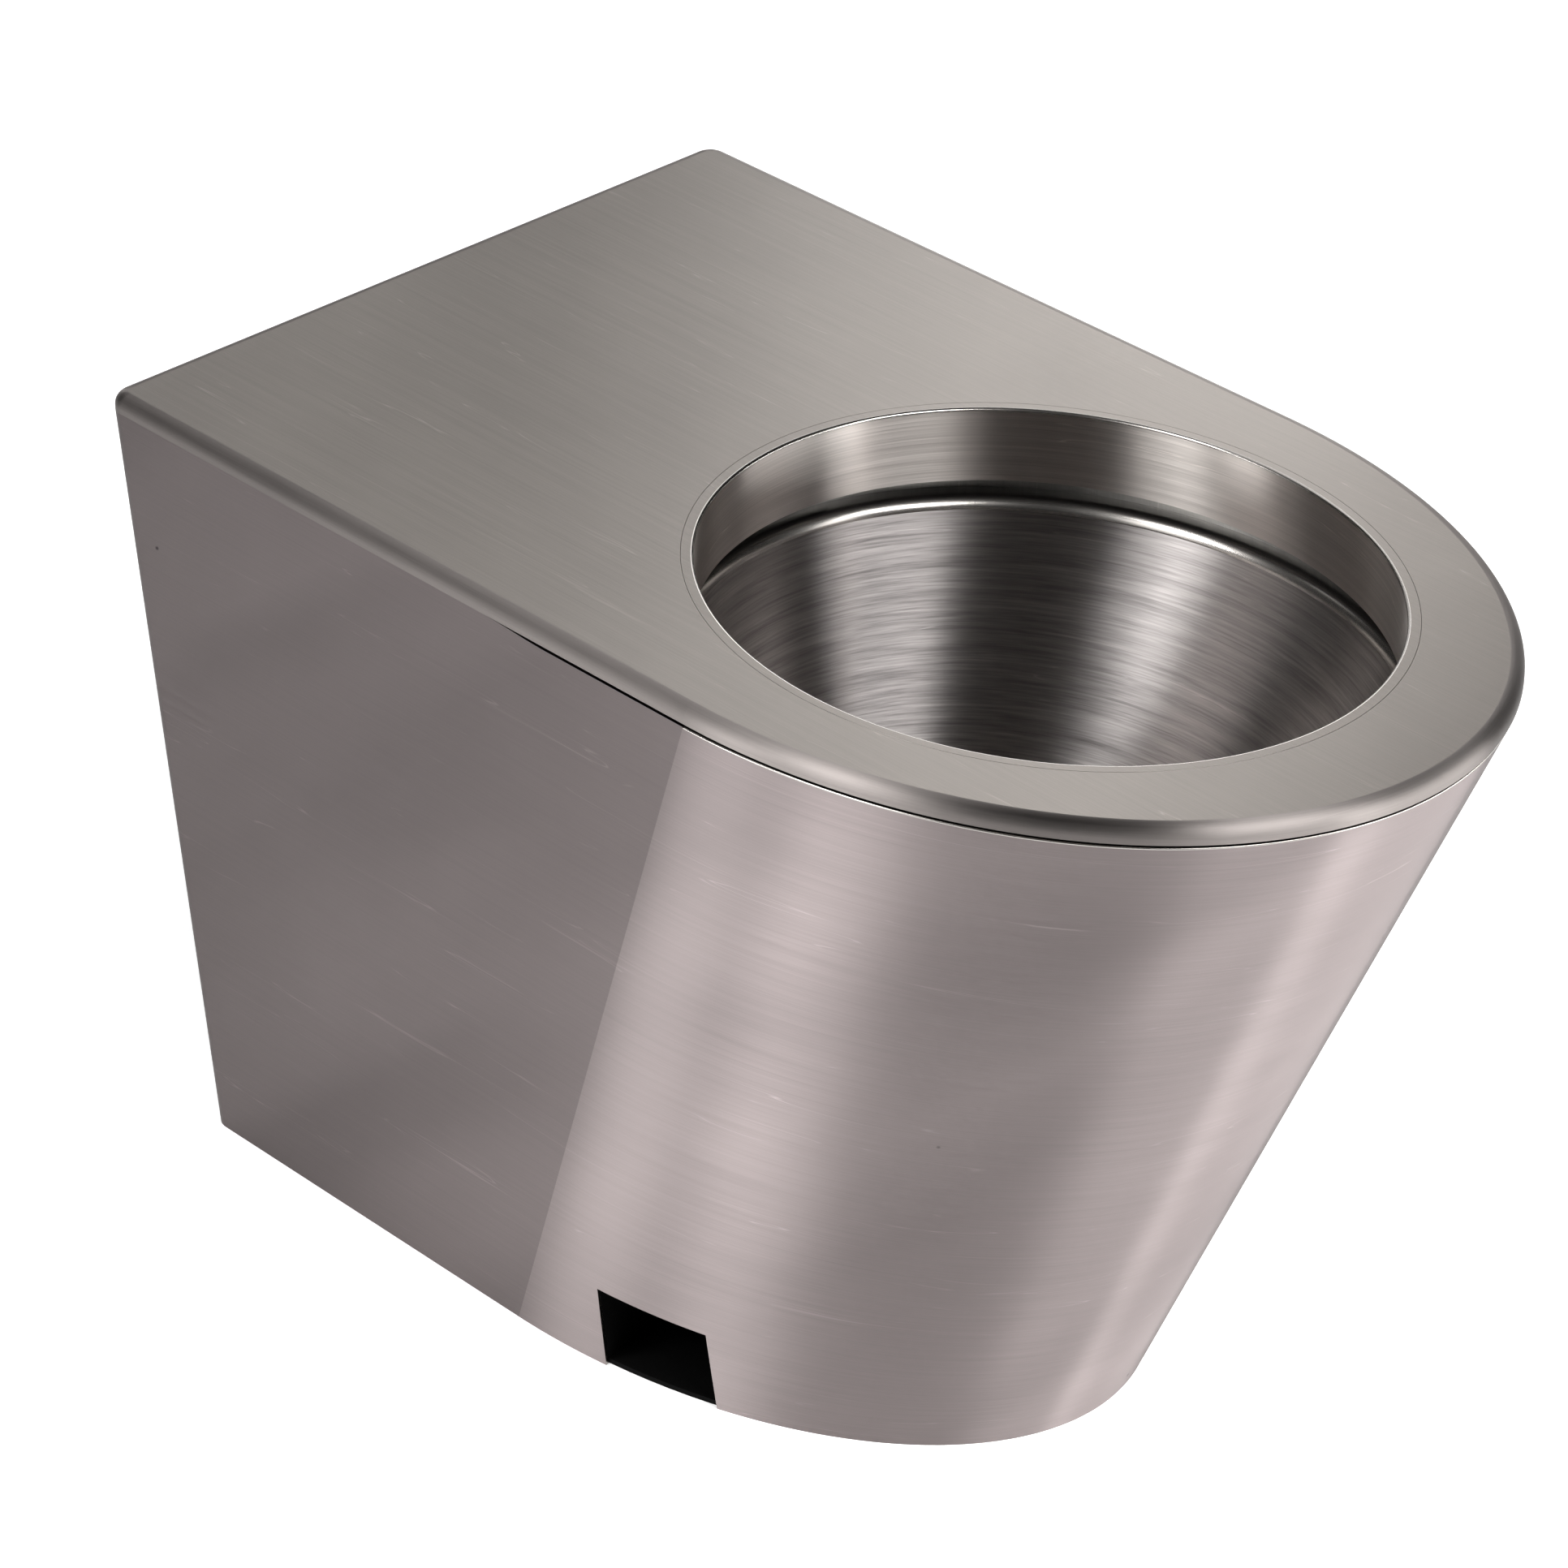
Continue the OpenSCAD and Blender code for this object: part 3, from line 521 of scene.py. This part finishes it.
def deck_patches():
    """Patches in the order of the section: top, rolled edge, rim, lip and back inside to the hole."""
    patches = []
    for run, count, turn_a, turn_b in outline_runs:
        def hole(t):
            """Point of the hole's oval that faces t on the run."""
            angle = np.radians(mix(turn_a, turn_b, t))
            return hole_r*np.cos(angle), -opening_y - hole_r*stretch*np.sin(angle)

        def flat(z):
            """Level face, from the hole for w = 0 to the start of the roll for w = 1."""
            def shape(t, w):
                (hx, hy), (ox, oy) = hole(t), run(t, edge_r + 0*t)
                return at(mix(hx, ox, w), mix(hy, oy, w), z)
            return shape

        def roll(radius):
            """Arc over the edge, from the flat at angle 0 to the rim at a quarter turn."""
            def shape(t, angle):
                return at(*run(t, edge_r - radius*np.sin(angle)), body_h - edge_r + radius*np.cos(angle))
            return shape

        def fixed(inset_a, inset_b, z_a, z_b):
            """Strip round the edge between two insets and heights."""
            return lambda t, v: at(*run(t, mix(inset_a, inset_b, v)), mix(z_a, z_b, v))

        def hole_wall(t, v):
            """Cut edge of the hole, straight up."""
            return at(*hole(t), deck_under + sheet_t*v)

        def along_edge(start, per_v):
            """Brushing coordinates: the way walked along the edge, and the way down over it, which
            begins at start and grows by per_v with v."""
            def coords(U, V, points):
                x, y = run(t, 0*t)
                walked = np.concatenate([[0], np.cumsum(np.hypot(np.diff(x), np.diff(y)))])
                return np.stack([np.interp(U, t, walked), start + per_v*V], -1)*MM
            return coords

        t, quarter, roll_z = steps(0, 1, count), math.pi/2, body_h - edge_r
        down_rim = along_edge(edge_r*quarter, roll_z - skirt_h)
        patches += [
            patch(flat(body_h), t, 1, along_y),
            patch(roll(edge_r), t, steps(0, quarter, 12), along_edge(0, edge_r), finish=1),
            patch(fixed(0, 0, roll_z, skirt_h), t, 1, down_rim, finish=1),
            patch(fixed(0, sheet_t, skirt_h, skirt_h), t, 1, along_y),
            patch(fixed(sheet_t, sheet_t, skirt_h, roll_z), t, 1, along_y),
            patch(roll(edge_r - sheet_t), t, steps(quarter, 0, 6), along_y),
            patch(flat(deck_under), t, steps(1, 0, 1), along_y),
            patch(hole_wall, t, 1, along_y)]
    return patches


make_piece("deck_sheet", deck_patches(), "deck", [deck_steel, rim_steel])

# %% [markdown]
# ## The collar
#
# The collar is a strip bent into an oval and welded upright into the hole. Collar and bowl could each
# be swept along a curve, but a turned profile is simpler: every face is a straight stretch or an arc
# of one half section, turned round the opening's axis and stretched lengthways into the oval.
# The grain runs round the opening. Its coordinate is counted both ways from the left side and meets
# itself on the right, so that no seam shows.

# %% Turned ovals
round_count = 240


def oval_patch(profile, v=1, raked=False, finish=0, uv=None):
    """A profile (radius, height) turned round the opening's axis and stretched along y.
    With raked, the oval also slides towards the wall as it goes down."""
    def shape(angle, w):
        r, z = profile(w)
        slide = rake*(mouth_z - z) if raked else 0*z
        return at(r*np.cos(angle), -opening_y + stretch*r*np.sin(angle) + slide, z)

    def round_uv(angle, w, points):
        """The way round from the left side, and height plus radius for the way across."""
        return np.stack([-np.abs(angle - math.pi)*open_r, points[..., 2] + profile(w)[0]], -1)*MM
    return patch(shape, steps(2*math.pi, 0, round_count), v, uv or round_uv, finish)


def line(r_a, z_a, r_b, z_b):
    """Straight stretch of a profile, with w from 0 to 1."""
    return lambda w: (mix(r_a, r_b, w), mix(z_a, z_b, w))


def bend(r, z, radius, first, last):
    """Arc of a profile about (r, z), between two angles in degrees."""
    def profile(w):
        angle = np.radians(mix(first, last, w))
        return r + radius*np.cos(angle), z + radius*np.sin(angle)
    return profile


print("each oval is turned in", round_count, "steps of", 360/round_count, "degrees")

# %% [markdown]
# The collar's top is rolled outwards into a narrow flange, and the weld round it is ground flush with
# the deck. From above only a thin bright edge is left of it, which the light catches all round, while
# the flange has taken on the deck's own grain. So the section has three finishes, and the ground edge
# has a radius of its own, smaller than that of the bend inside.

# %% The collar's patches
def collar_patches():
    """Faces of the section: inside, ground edge, flange, and back down the outside."""
    roll_r, roll_z = open_r + collar_r, body_h - collar_r
    flange_r, out_r, ground_r = hole_r - seat, open_r + sheet_t, 1.2
    top_r, top_z = open_r + ground_r, body_h - ground_r
    return [
        oval_patch(line(open_r, collar_z, open_r, top_z), 6),
        oval_patch(bend(top_r, top_z, ground_r, 180, 90), 12, finish=1),
        oval_patch(line(top_r, body_h, flange_r, body_h), finish=2, uv=along_y),
        oval_patch(line(flange_r, body_h, flange_r, deck_under)),
        oval_patch(line(flange_r, deck_under, roll_r, deck_under)),
        oval_patch(bend(roll_r, roll_z, collar_r - sheet_t, 90, 180), 4),
        oval_patch(line(out_r, roll_z, out_r, collar_z)),
        oval_patch(line(out_r, collar_z, open_r, collar_z), finish=1)]


make_piece("collar_ring", collar_patches(), "opening_collar",
           [collar_steel, edge_steel, deck_steel])

# %% [markdown]
# ## The bowl
#
# Below the collar a dark slot lets the flush water in. Under it lies a flat ledge, then a rounded
# shoulder, and the cone of the bowl, which leans back as it goes down. Its grain runs round, so the
# reflections of the lamps stand in it as upright bands. It is turned like the collar, but slides
# towards the wall on its way down. The shoulder's arc starts at the cone's own lean, so no crease
# shows between them.

# %% The bowl's patches
def bowl_patches():
    """Faces of the section: cone, shoulder, ledge, outer edge, and the same again underneath."""
    mouth_r, sump_r = open_r + mouth_out, sump_w/2
    lean = math.atan((mouth_r - sump_r)/(mouth_z - shoulder_r - sump_z))
    tip = 180 - math.degrees(lean)
    r, z, thin = mouth_r + shoulder_r*math.cos(lean), mouth_z - shoulder_r, shoulder_r - sheet_t
    out_r = sump_r + sheet_t/math.cos(lean)
    top_z, thin_z = z + shoulder_r*math.sin(lean), z + thin*math.sin(lean)
    thin_r, under_z = r - thin*math.cos(lean), mouth_z - sheet_t
    return [
        oval_patch(line(sump_r, sump_z, mouth_r, top_z), 24, True),
        oval_patch(bend(r, z, shoulder_r, tip, 90), 12, True, finish=1),
        oval_patch(line(r, mouth_z, channel_out_r, mouth_z), 1, True, finish=1),
        oval_patch(line(channel_out_r, mouth_z, channel_out_r, under_z), 1, True),
        oval_patch(line(channel_out_r, under_z, r, under_z), 1, True),
        oval_patch(bend(r, z, thin, 90, tip), 6, True),
        oval_patch(line(thin_r, thin_z, out_r, sump_z), 12, True),
        oval_patch(line(out_r, sump_z, sump_r, sump_z), 1, True)]


make_piece("bowl_cone", bowl_patches(), "bowl", [bowl_steel, edge_steel])

# %% [markdown]
# ## The skirt
#
# The skirt has two flat flanks and a rolled apron between them. All its sizes shrink evenly from the
# deck to the floor, so at each height the plan is a D again, and a straight line from the foot to the
# deck lies in the sheet. The flanks meet the apron where the D's straight side ends, with the same
# normal on both sides, so there is no crease, as on the real pan where the weld is ground away. Only
# the tone changes there, because the flanks carry a darker tint of the same steel, which is painted
# shade. The grain runs level round the skirt.

# %% Skirt sizes at a height
def shrink(z, at_foot, at_head):
    """Straight change of a size from the floor to the top of the skirt."""
    return at_foot + (at_head - at_foot)*z/skirt_h


def half_width(z):
    """Half the skirt's width at a height."""
    return shrink(z, foot_w, body_w)/2


def straight_len(z):
    """Length of the D's straight sides at a height."""
    return shrink(z, foot_d - foot_nose_l, body_d - nose_l)


def nose_len(z):
    """Length of the D's nose at a height."""
    return shrink(z, foot_nose_l, nose_l)


def round_skirt(U, V, points):
    """Brushing coordinates: the way round from the right flank's front end, which on the nose is
    the turn's share of round_len, and the height."""
    x, y, z = points[..., 0], points[..., 1] + straight_len(points[..., 2]), points[..., 2]
    angle = np.arctan2(-np.minimum(y, 0)/nose_len(z), np.abs(x)/half_width(z))
    arc = np.where(y < 0, -angle*round_len/math.pi, y)
    return np.stack([np.where(x < 0, -round_len - arc, arc), z], -1)*MM


def skirt_patch(shape, u, v, finish=0):
    """Patch that is brushed level round the skirt."""
    return patch(shape, u, v, round_skirt, finish)


print("half width of the skirt at the floor and at its top:", half_width(0), half_width(skirt_h), "mm")

# %% [markdown]
# Each flank is a strip with three runs in plan: the flat side, the rear corner and a flange turned in
# along the wall. Near the nose its top edge drops a little, which opens the joint under the rim. On
# the real pan that joint starts where the grinding stops, so here it opens gradually.

# %% Plan and top edge of a flank
joint_ease = 40.0  # length over which the joint opens


def flank_run(t, inset, z):
    """Flat side, from the apron to the rear corner."""
    return half_width(z) - inset, -(1 - t)*straight_len(z) - t*corner_r


def rear_corner_run(t, inset, z):
    """Quarter circle of the rear corner."""
    angle = math.pi/2*t
    return (half_width(z) - corner_r + (corner_r - inset)*np.cos(angle),
            -corner_r + (corner_r - inset)*np.sin(angle))


def return_run(t, inset, z):
    """Flange turned in along the wall."""
    return half_width(z) - corner_r - t*(return_w - corner_r), -inset + 0*t


def flank_top(t):
    """Height of the flank's top edge. The joint lowers it by joint_gap towards the nose, along the
    smooth step e*e*(3 - 2e), where e grows from 0 to 1 over joint_ease about joint_y."""
    y = (1 - t)*straight_len(skirt_h) + t*corner_r
    ease = np.clip((y - joint_y + joint_ease/2)/joint_ease, 0, 1)
    return skirt_h - joint_gap*ease*ease*(3 - 2*ease)


print("the flank is", skirt_h, "mm high at the wall and", float(flank_top(0.0)), "mm at the apron")

# %% [markdown]
# The right flank is made from these, and the left one is its mirror image. A mirror modifier would do
# the same, but here the points are mirrored before the mesh is made, which leaves nothing live.

# %% The flanks
def flank_patches():
    """Outer face, top edge, inner face and bottom edge of each run, and the two ends."""
    patches, rows = [], 24
    runs = ((flank_run, 48, flank_top), (rear_corner_run, 12, None), (return_run, 2, None))
    for run, count, top in runs:
        def height(t, w):
            """The share w of the way up to the top edge."""
            return w*(top(t) if top else skirt_h)

        def face(inset):
            """Upright face at an inset."""
            return lambda t, w: at(*run(t, inset, height(t, w)), height(t, w))

        def edge(w, inset_a, inset_b):
            """Level face across the sheet, at the floor for w = 0 and at the top for w = 1."""
            def shape(t, v):
                return at(*run(t, mix(inset_a, inset_b, v), height(t, w)), height(t, w) + 0*v)
            return shape

        patches += [skirt_patch(face(0), count, rows), skirt_patch(edge(1, 0, sheet_t), count, 1),
                    skirt_patch(face(sheet_t), count, steps(1, 0, rows)),
                    skirt_patch(edge(0, sheet_t, 0), count, 1)]
    end_top = float(flank_top(0.0))

    def apron_end(w, v):
        return at(*flank_run(0, sheet_t*v, w*end_top), w*end_top)

    def wall_end(v, w):
        return at(*return_run(1, sheet_t*v, w*skirt_h), w*skirt_h)
    return patches + [skirt_patch(apron_end, rows, 1), skirt_patch(wall_end, 1, rows)]


make_piece("flank_right", flank_patches(), "side_panel_right", [flank_shade_steel])
make_piece("flank_left", flank_patches(), "side_panel_left", [flank_shade_steel], mirror=True)

# %% [markdown]
# The apron is half an oval cone. The two notches at its foot are cut square to the sheet, so their
# edges are slanted curves on the cone. A boolean would cut them, but leave slivers that show in the
# metal. Here the grid follows the cut instead: between the floor and the notch's top, its columns are
# drawn so that some of them lie exactly on the notch's sides.

# %% Where the notches cut the apron
cut_slope = math.atan(foot_w/2*math.tan(notch_turn)/foot_nose_l)
cut_x = foot_w/2*math.cos(notch_turn)
cut_y = foot_nose_l - foot_d - foot_nose_l*math.sin(notch_turn)


def apron_point(a, inset, z):
    """Point of the skirt's nose at a turn from the right flank, an inset and a height."""
    return at((half_width(z) - inset)*np.cos(a), -straight_len(z) - (nose_len(z) - inset)*np.sin(a), z)


def cut_turn(side, inset, z):
    """Turn a at which the skirt meets a side of the right notch, from A cos a - B sin a = c. With
    R and f the length and angle of (A, B) that is R cos(a + f) = c."""
    z = np.minimum(z, notch_h)
    A = (half_width(z) - inset)*math.sin(cut_slope)
    B = (nose_len(z) - inset)*math.cos(cut_slope)
    c = side*notch_w/2 + cut_x*math.sin(cut_slope) + (cut_y + straight_len(z))*math.cos(cut_slope)
    return np.arccos(c/np.hypot(A, B)) - np.arctan2(B, A)


def apron_bounds(inset, z):
    """The six turns between which the apron's columns lie, from the right flank to the left one."""
    near, far = cut_turn(1, inset, z), cut_turn(-1, inset, z)
    return [0*z, near, far, math.pi - far, math.pi - near, math.pi + 0*z]


foot_turns = [round(math.degrees(turn), 1) for turn in apron_bounds(0, 0.0)]
print("turns of the columns' limits at the floor:", foot_turns, "degrees")

# %% [markdown]
# Five bands of columns lie between those six turns, and the second and the fourth have the notches.
# Each kind of face is one function: the curved face outside and inside, level edges across the sheet,
# and upright edges beside the notches and the flanks.

# %% Faces of the apron
def band_point(part, s, inset, z):
    """Point at a share s of the way across one band."""
    limits = apron_bounds(inset, z)
    return apron_point(mix(limits[part], limits[part + 1], s), inset, z)


def apron_face(part, low, high, inset):
    """Curved face of a band between two heights, as shape(v, s) with v the share of the height."""
    return lambda v, s: band_point(part, s, inset, mix(low, high, v))


def apron_edge(part, z, inset_a, inset_b):
    """Level face of a band across the sheet, between two insets."""
    return lambda v, s: band_point(part, s, mix(inset_a, inset_b, v), z + 0*v)


def apron_side(index, inset_a, inset_b, high):
    """Face across the sheet along one of the six turns, from the floor to a height."""
    def shape(v, w):
        inset, z = mix(inset_a, inset_b, v), high*w
        return apron_point(apron_bounds(inset, z)[index], inset, z)
    return shape


print("foot of the nose at", apron_face(2, 0, skirt_h, 0)(0.0, 0.5).round(2), "mm")

# %% [markdown]
# The apron's top edge lies under the deck's rim with a narrow dark joint between them. The cut edge
# has been dressed with a file, so it is rounded over and catches a thin bright line from the lamps.
# That line is what makes the joint read as two sheets.

# %% The rounded top edge
head, lip_r = skirt_h - joint_gap, 0.8


def lip_section(w):
    """Height and inset along a quarter circle, from the outer face over to the flat of the edge."""
    return head - lip_r*(1 - np.sin(math.pi/2*w)), lip_r*(1 - np.cos(math.pi/2*w))


def apron_lip(part):
    """Rounded top edge of a band."""
    def shape(v, s):
        z, inset = lip_section(v)
        return band_point(part, s, inset, z)
    return shape


def apron_lip_end(index, outer_first):
    """Face across the sheet beside the rounded edge, from the quarter circle to the inner face."""
    def shape(v, w):
        z, outer = lip_section(w)
        inset = mix(outer, sheet_t, v if outer_first else 1 - v)
        return apron_point(apron_bounds(inset, z)[index], inset, z)
    return shape


print("the apron is", head, "mm high, the joint above it", joint_gap, "mm")

# %% [markdown]
# The faces are now put together band by band. A band with a notch stops at the notch's top and gets an
# edge there. The cut edges have the bright finish, like everything that was ground.

# %% The apron's patches
def apron_patches():
    """All faces of the five bands, then the sides of the notches and the ends at the flanks. The
    inside has a row of points for each row of the rounded edge, so that the ends close."""
    patches, columns, neck = [], [20, 14, 110, 14, 20], head - lip_r
    rows_low, rows_high, rows_lip = 8, 24, 6
    lip_levels = np.sin(math.pi/2*steps(1, 0, rows_lip))
    for part, s in enumerate(columns):
        patches += [skirt_patch(apron_face(part, notch_h, neck, 0), rows_high, s),
                    skirt_patch(apron_lip(part), rows_lip, s, 1),
                    skirt_patch(apron_edge(part, head, lip_r, sheet_t), 1, s, 1),
                    skirt_patch(apron_face(part, neck, head, sheet_t), lip_levels, s),
                    skirt_patch(apron_face(part, neck, notch_h, sheet_t), rows_high, s)]
        if part in (1, 3):
            patches.append(skirt_patch(apron_edge(part, notch_h, sheet_t, 0), 1, s, 1))
        else:
            patches += [skirt_patch(apron_face(part, 0, notch_h, 0), rows_low, s),
                        skirt_patch(apron_face(part, notch_h, 0, sheet_t), rows_low, s),
                        skirt_patch(apron_edge(part, 0.0, sheet_t, 0), 1, s)]
    for index in (1, 2, 3, 4):
        ends = (0, sheet_t) if index in (2, 4) else (sheet_t, 0)
        patches.append(skirt_patch(apron_side(index, *ends, notch_h), 1, rows_low, 1))
    for index, ends in ((0, (0, sheet_t)), (5, (sheet_t, 0))):
        for low, high, rows in ((0, notch_h, rows_low), (notch_h, neck, rows_high)):
            patches.append(skirt_patch(apron_side(index, *ends, 1.0), 1, steps(low, high, rows)))
        patches.append(skirt_patch(apron_lip_end(index, index == 0), 1, rows_lip))
    return patches


make_piece("apron_sheet", apron_patches(), "front_apron", [skirt_steel, edge_steel])

# %% [markdown]
# ## The pieces inside
#
# The pipes, stands and ribs inside are kept as the CAD part has them. The round ones get a copy whose
# loose triangles are merged and shaded smooth, apart from edges sharper than 30 degrees. They could be
# turned anew like the bowl, but they are only seen from behind. The others keep their own mesh and
# only change their material.

# %% Inner pieces
# The pockets and the joint strip get the near black that paints in their shade.
inner_finish = {
    "flush_bush": seal_rubber, "joint_strip": painted_shade_black, "fixing_pocket_left": painted_shade_black,
    "fixing_pocket_right": painted_shade_black, "deck_pads": damping_mat, "side_pad_left": damping_mat,
    "side_pad_right": damping_mat}
round_nodes = ["sump", "trap_inlet", "trap_lower_bend", "trap_riser", "trap_upper_bend", "outlet_reducer",
               "outlet_spigot", "flush_socket", "flush_bush", "flush_channel", "flush_chamber"]
rebuilt = ("deck", "opening_collar", "bowl", "side_panel_left", "side_panel_right", "front_apron")
merge_m, sharp_angle = 1e-6, math.radians(30)


def smooth_copy(name):
    """Copy of a CAD node with its corners merged and its round faces shaded smooth."""
    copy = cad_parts[name].copy()
    copy.data = copy.data.copy()
    copy.name = name + "_smooth"
    bpy.context.scene.collection.objects.link(copy)
    work = bmesh.new()
    work.from_mesh(copy.data)
    bmesh.ops.remove_doubles(work, verts=work.verts, dist=merge_m)
    work.to_mesh(copy.data)
    work.free()
    copy.data.shade_smooth()
    copy.data.set_sharp_from_angle(angle=sharp_angle)
    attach(copy, "root")
    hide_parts(name)
    return copy


for name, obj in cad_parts.items():
    if name in rebuilt:
        continue
    shown = smooth_copy(name) if name in round_nodes else obj
    shown.data.materials.clear()
    shown.data.materials.append(inner_finish.get(name, inner_steel))
print("inner pieces:", len(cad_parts) - len(rebuilt), "of them smoothed:", len(round_nodes))

# %% [markdown]
# ## The studio
#
# Steel shows its surroundings, so the surroundings are designed. The floor is plain and pale, and it
# is lifted towards white for the eye and in reflections. A pale screen stands behind the pan on the
# right, where the deck mirrors it. All the rest is dark, because the dark gaps between the lights make
# the metal read as metal.

# %% Floor, screen and world
far, world_grey = 15.0, 0.02
screen_left, screen_right, screen_y, screen_top = 0.5, 3.2, 1.9, 2.6


def make_plain(name, corners, grey, lift):
    """Flat matt sheet of studio floor or screen. It glows by the lift, but only for rays from the
    camera, from reflections and through glass."""
    mesh = bpy.data.meshes.new(name)
    mesh.from_pydata(corners, [], [(0, 1, 2, 3)])
    obj = add_object(name, mesh)
    material, tree, shader = new_material(name)
    path = node(tree, "LightPath")
    seen = maths(tree, "ADD", path.outputs["Is Camera Ray"], path.outputs["Is Glossy Ray"])
    seen = maths(tree, "ADD", seen, path.outputs["Is Transmission Ray"], clamp=True)
    fill(tree, shader, {
        "Base Color": (grey, grey, grey, 1), "Roughness": 0.9, "Specular IOR Level": 0.1,
        "Emission Color": (1, 1, 1, 1), "Emission Strength": product(tree, seen, lift)})
    mesh.materials.append(material)


make_plain("studio floor", [(-far, -far, 0), (far, -far, 0), (far, far, 0), (-far, far, 0)], 0.9, 0.4)
make_plain("studio screen", [
    (screen_left, screen_y, 0), (screen_right, screen_y, 0),
    (screen_right, screen_y, screen_top), (screen_left, screen_y, screen_top)], 0.8, 0.0)
world = bpy.data.worlds.new("studio")
bpy.context.scene.world = world
world.use_nodes = True
fill(world.node_tree, world.node_tree.nodes["Background"], {
    "Color": (world_grey, world_grey, world_grey, 1), "Strength": 1.0})
print("stage: floor", 2*far, "m wide and a screen", screen_right - screen_left, "m wide")

# %% [markdown]
# Each lamp is a rectangle that looks at the middle of the pan. It is placed by its compass angle round
# the pan, counted from the nose, its distance and the height of its middle. A picture of a real studio
# would light the steel too, but single lamps can be put where the photo shows their bands. The low
# ones reach only the skirt, the high ones shine into the bowl, and the two at the back are weak and
# bring out the deck and its rolled edge.

# %% Lamps
aim = Vector((0, -0.05, 0.25))


def softbox(name, azimuth, distance, height, size, power):
    """Area lamp at a bearing from the nose's direction, turned to face the pan."""
    turn = math.radians(azimuth)
    lamp = bpy.data.lights.new(name, "AREA")
    lamp.shape, lamp.size, lamp.size_y, lamp.energy = "RECTANGLE", *size, power
    obj = add_object(name, lamp)
    obj.location = (math.sin(turn)*distance, -math.cos(turn)*distance, height)
    obj.rotation_euler = (aim - obj.location).to_track_quat("-Z", "Y").to_euler()


softbox("right low", 33, 3.0, 0.45, (3.2, 0.5), 74)
softbox("front", 12, 2.4, 1.15, (0.6, 2.0), 14)
softbox("front high", -7, 1.9, 2.3, (1.4, 1.0), 64)
softbox("left low", -117, 3.0, 0.45, (0.7, 0.5), 20)
softbox("left", -94, 2.4, 1.15, (0.8, 2.0), 15)
softbox("left high", -107, 1.9, 2.0, (0.55, 1.2), 30)
softbox("right back", 127, 2.4, 1.15, (0.65, 2.0), 10)
softbox("top back", 172, 1.6, 2.5, (2.2, 1.0), 9)

# %% [markdown]
# The camera was found by fitting the pan's measured outline to the photograph: a long lens, about
# 147 mm on a 36 mm frame, nearly three metres away, at the front left corner and 32 degrees up. The
# fitted directions are rounded, so a QR decomposition makes them square to each other again, and each
# keeps its sense through the sign of its product with the fitted one.

# %% Camera
right, up = (0.71715, -0.69679, 0.01347), (0.35732, 0.38422, 0.8513)
back = (-0.59835, -0.60569, 0.52451)
stand = (-1.6762, -1.9337 + body_d/2*MM, 1.7017)
axes = np.array([right, up, back]).T
square, _ = np.linalg.qr(axes)
square *= np.sign(np.sum(square*axes, axis=0))
place = Matrix(square.tolist()).to_4x4()
place.translation = stand
lens = bpy.data.cameras.new("camera")
lens.lens, lens.sensor_width, lens.clip_end = 146.85, 36.0, 50.0
camera = add_object("camera", lens)
camera.matrix_world = place
bpy.context.scene.camera = camera
bpy.context.scene.view_settings.view_transform = "Standard"
print("camera:", tuple(round(v, 3) for v in camera.location), lens.lens, "mm")
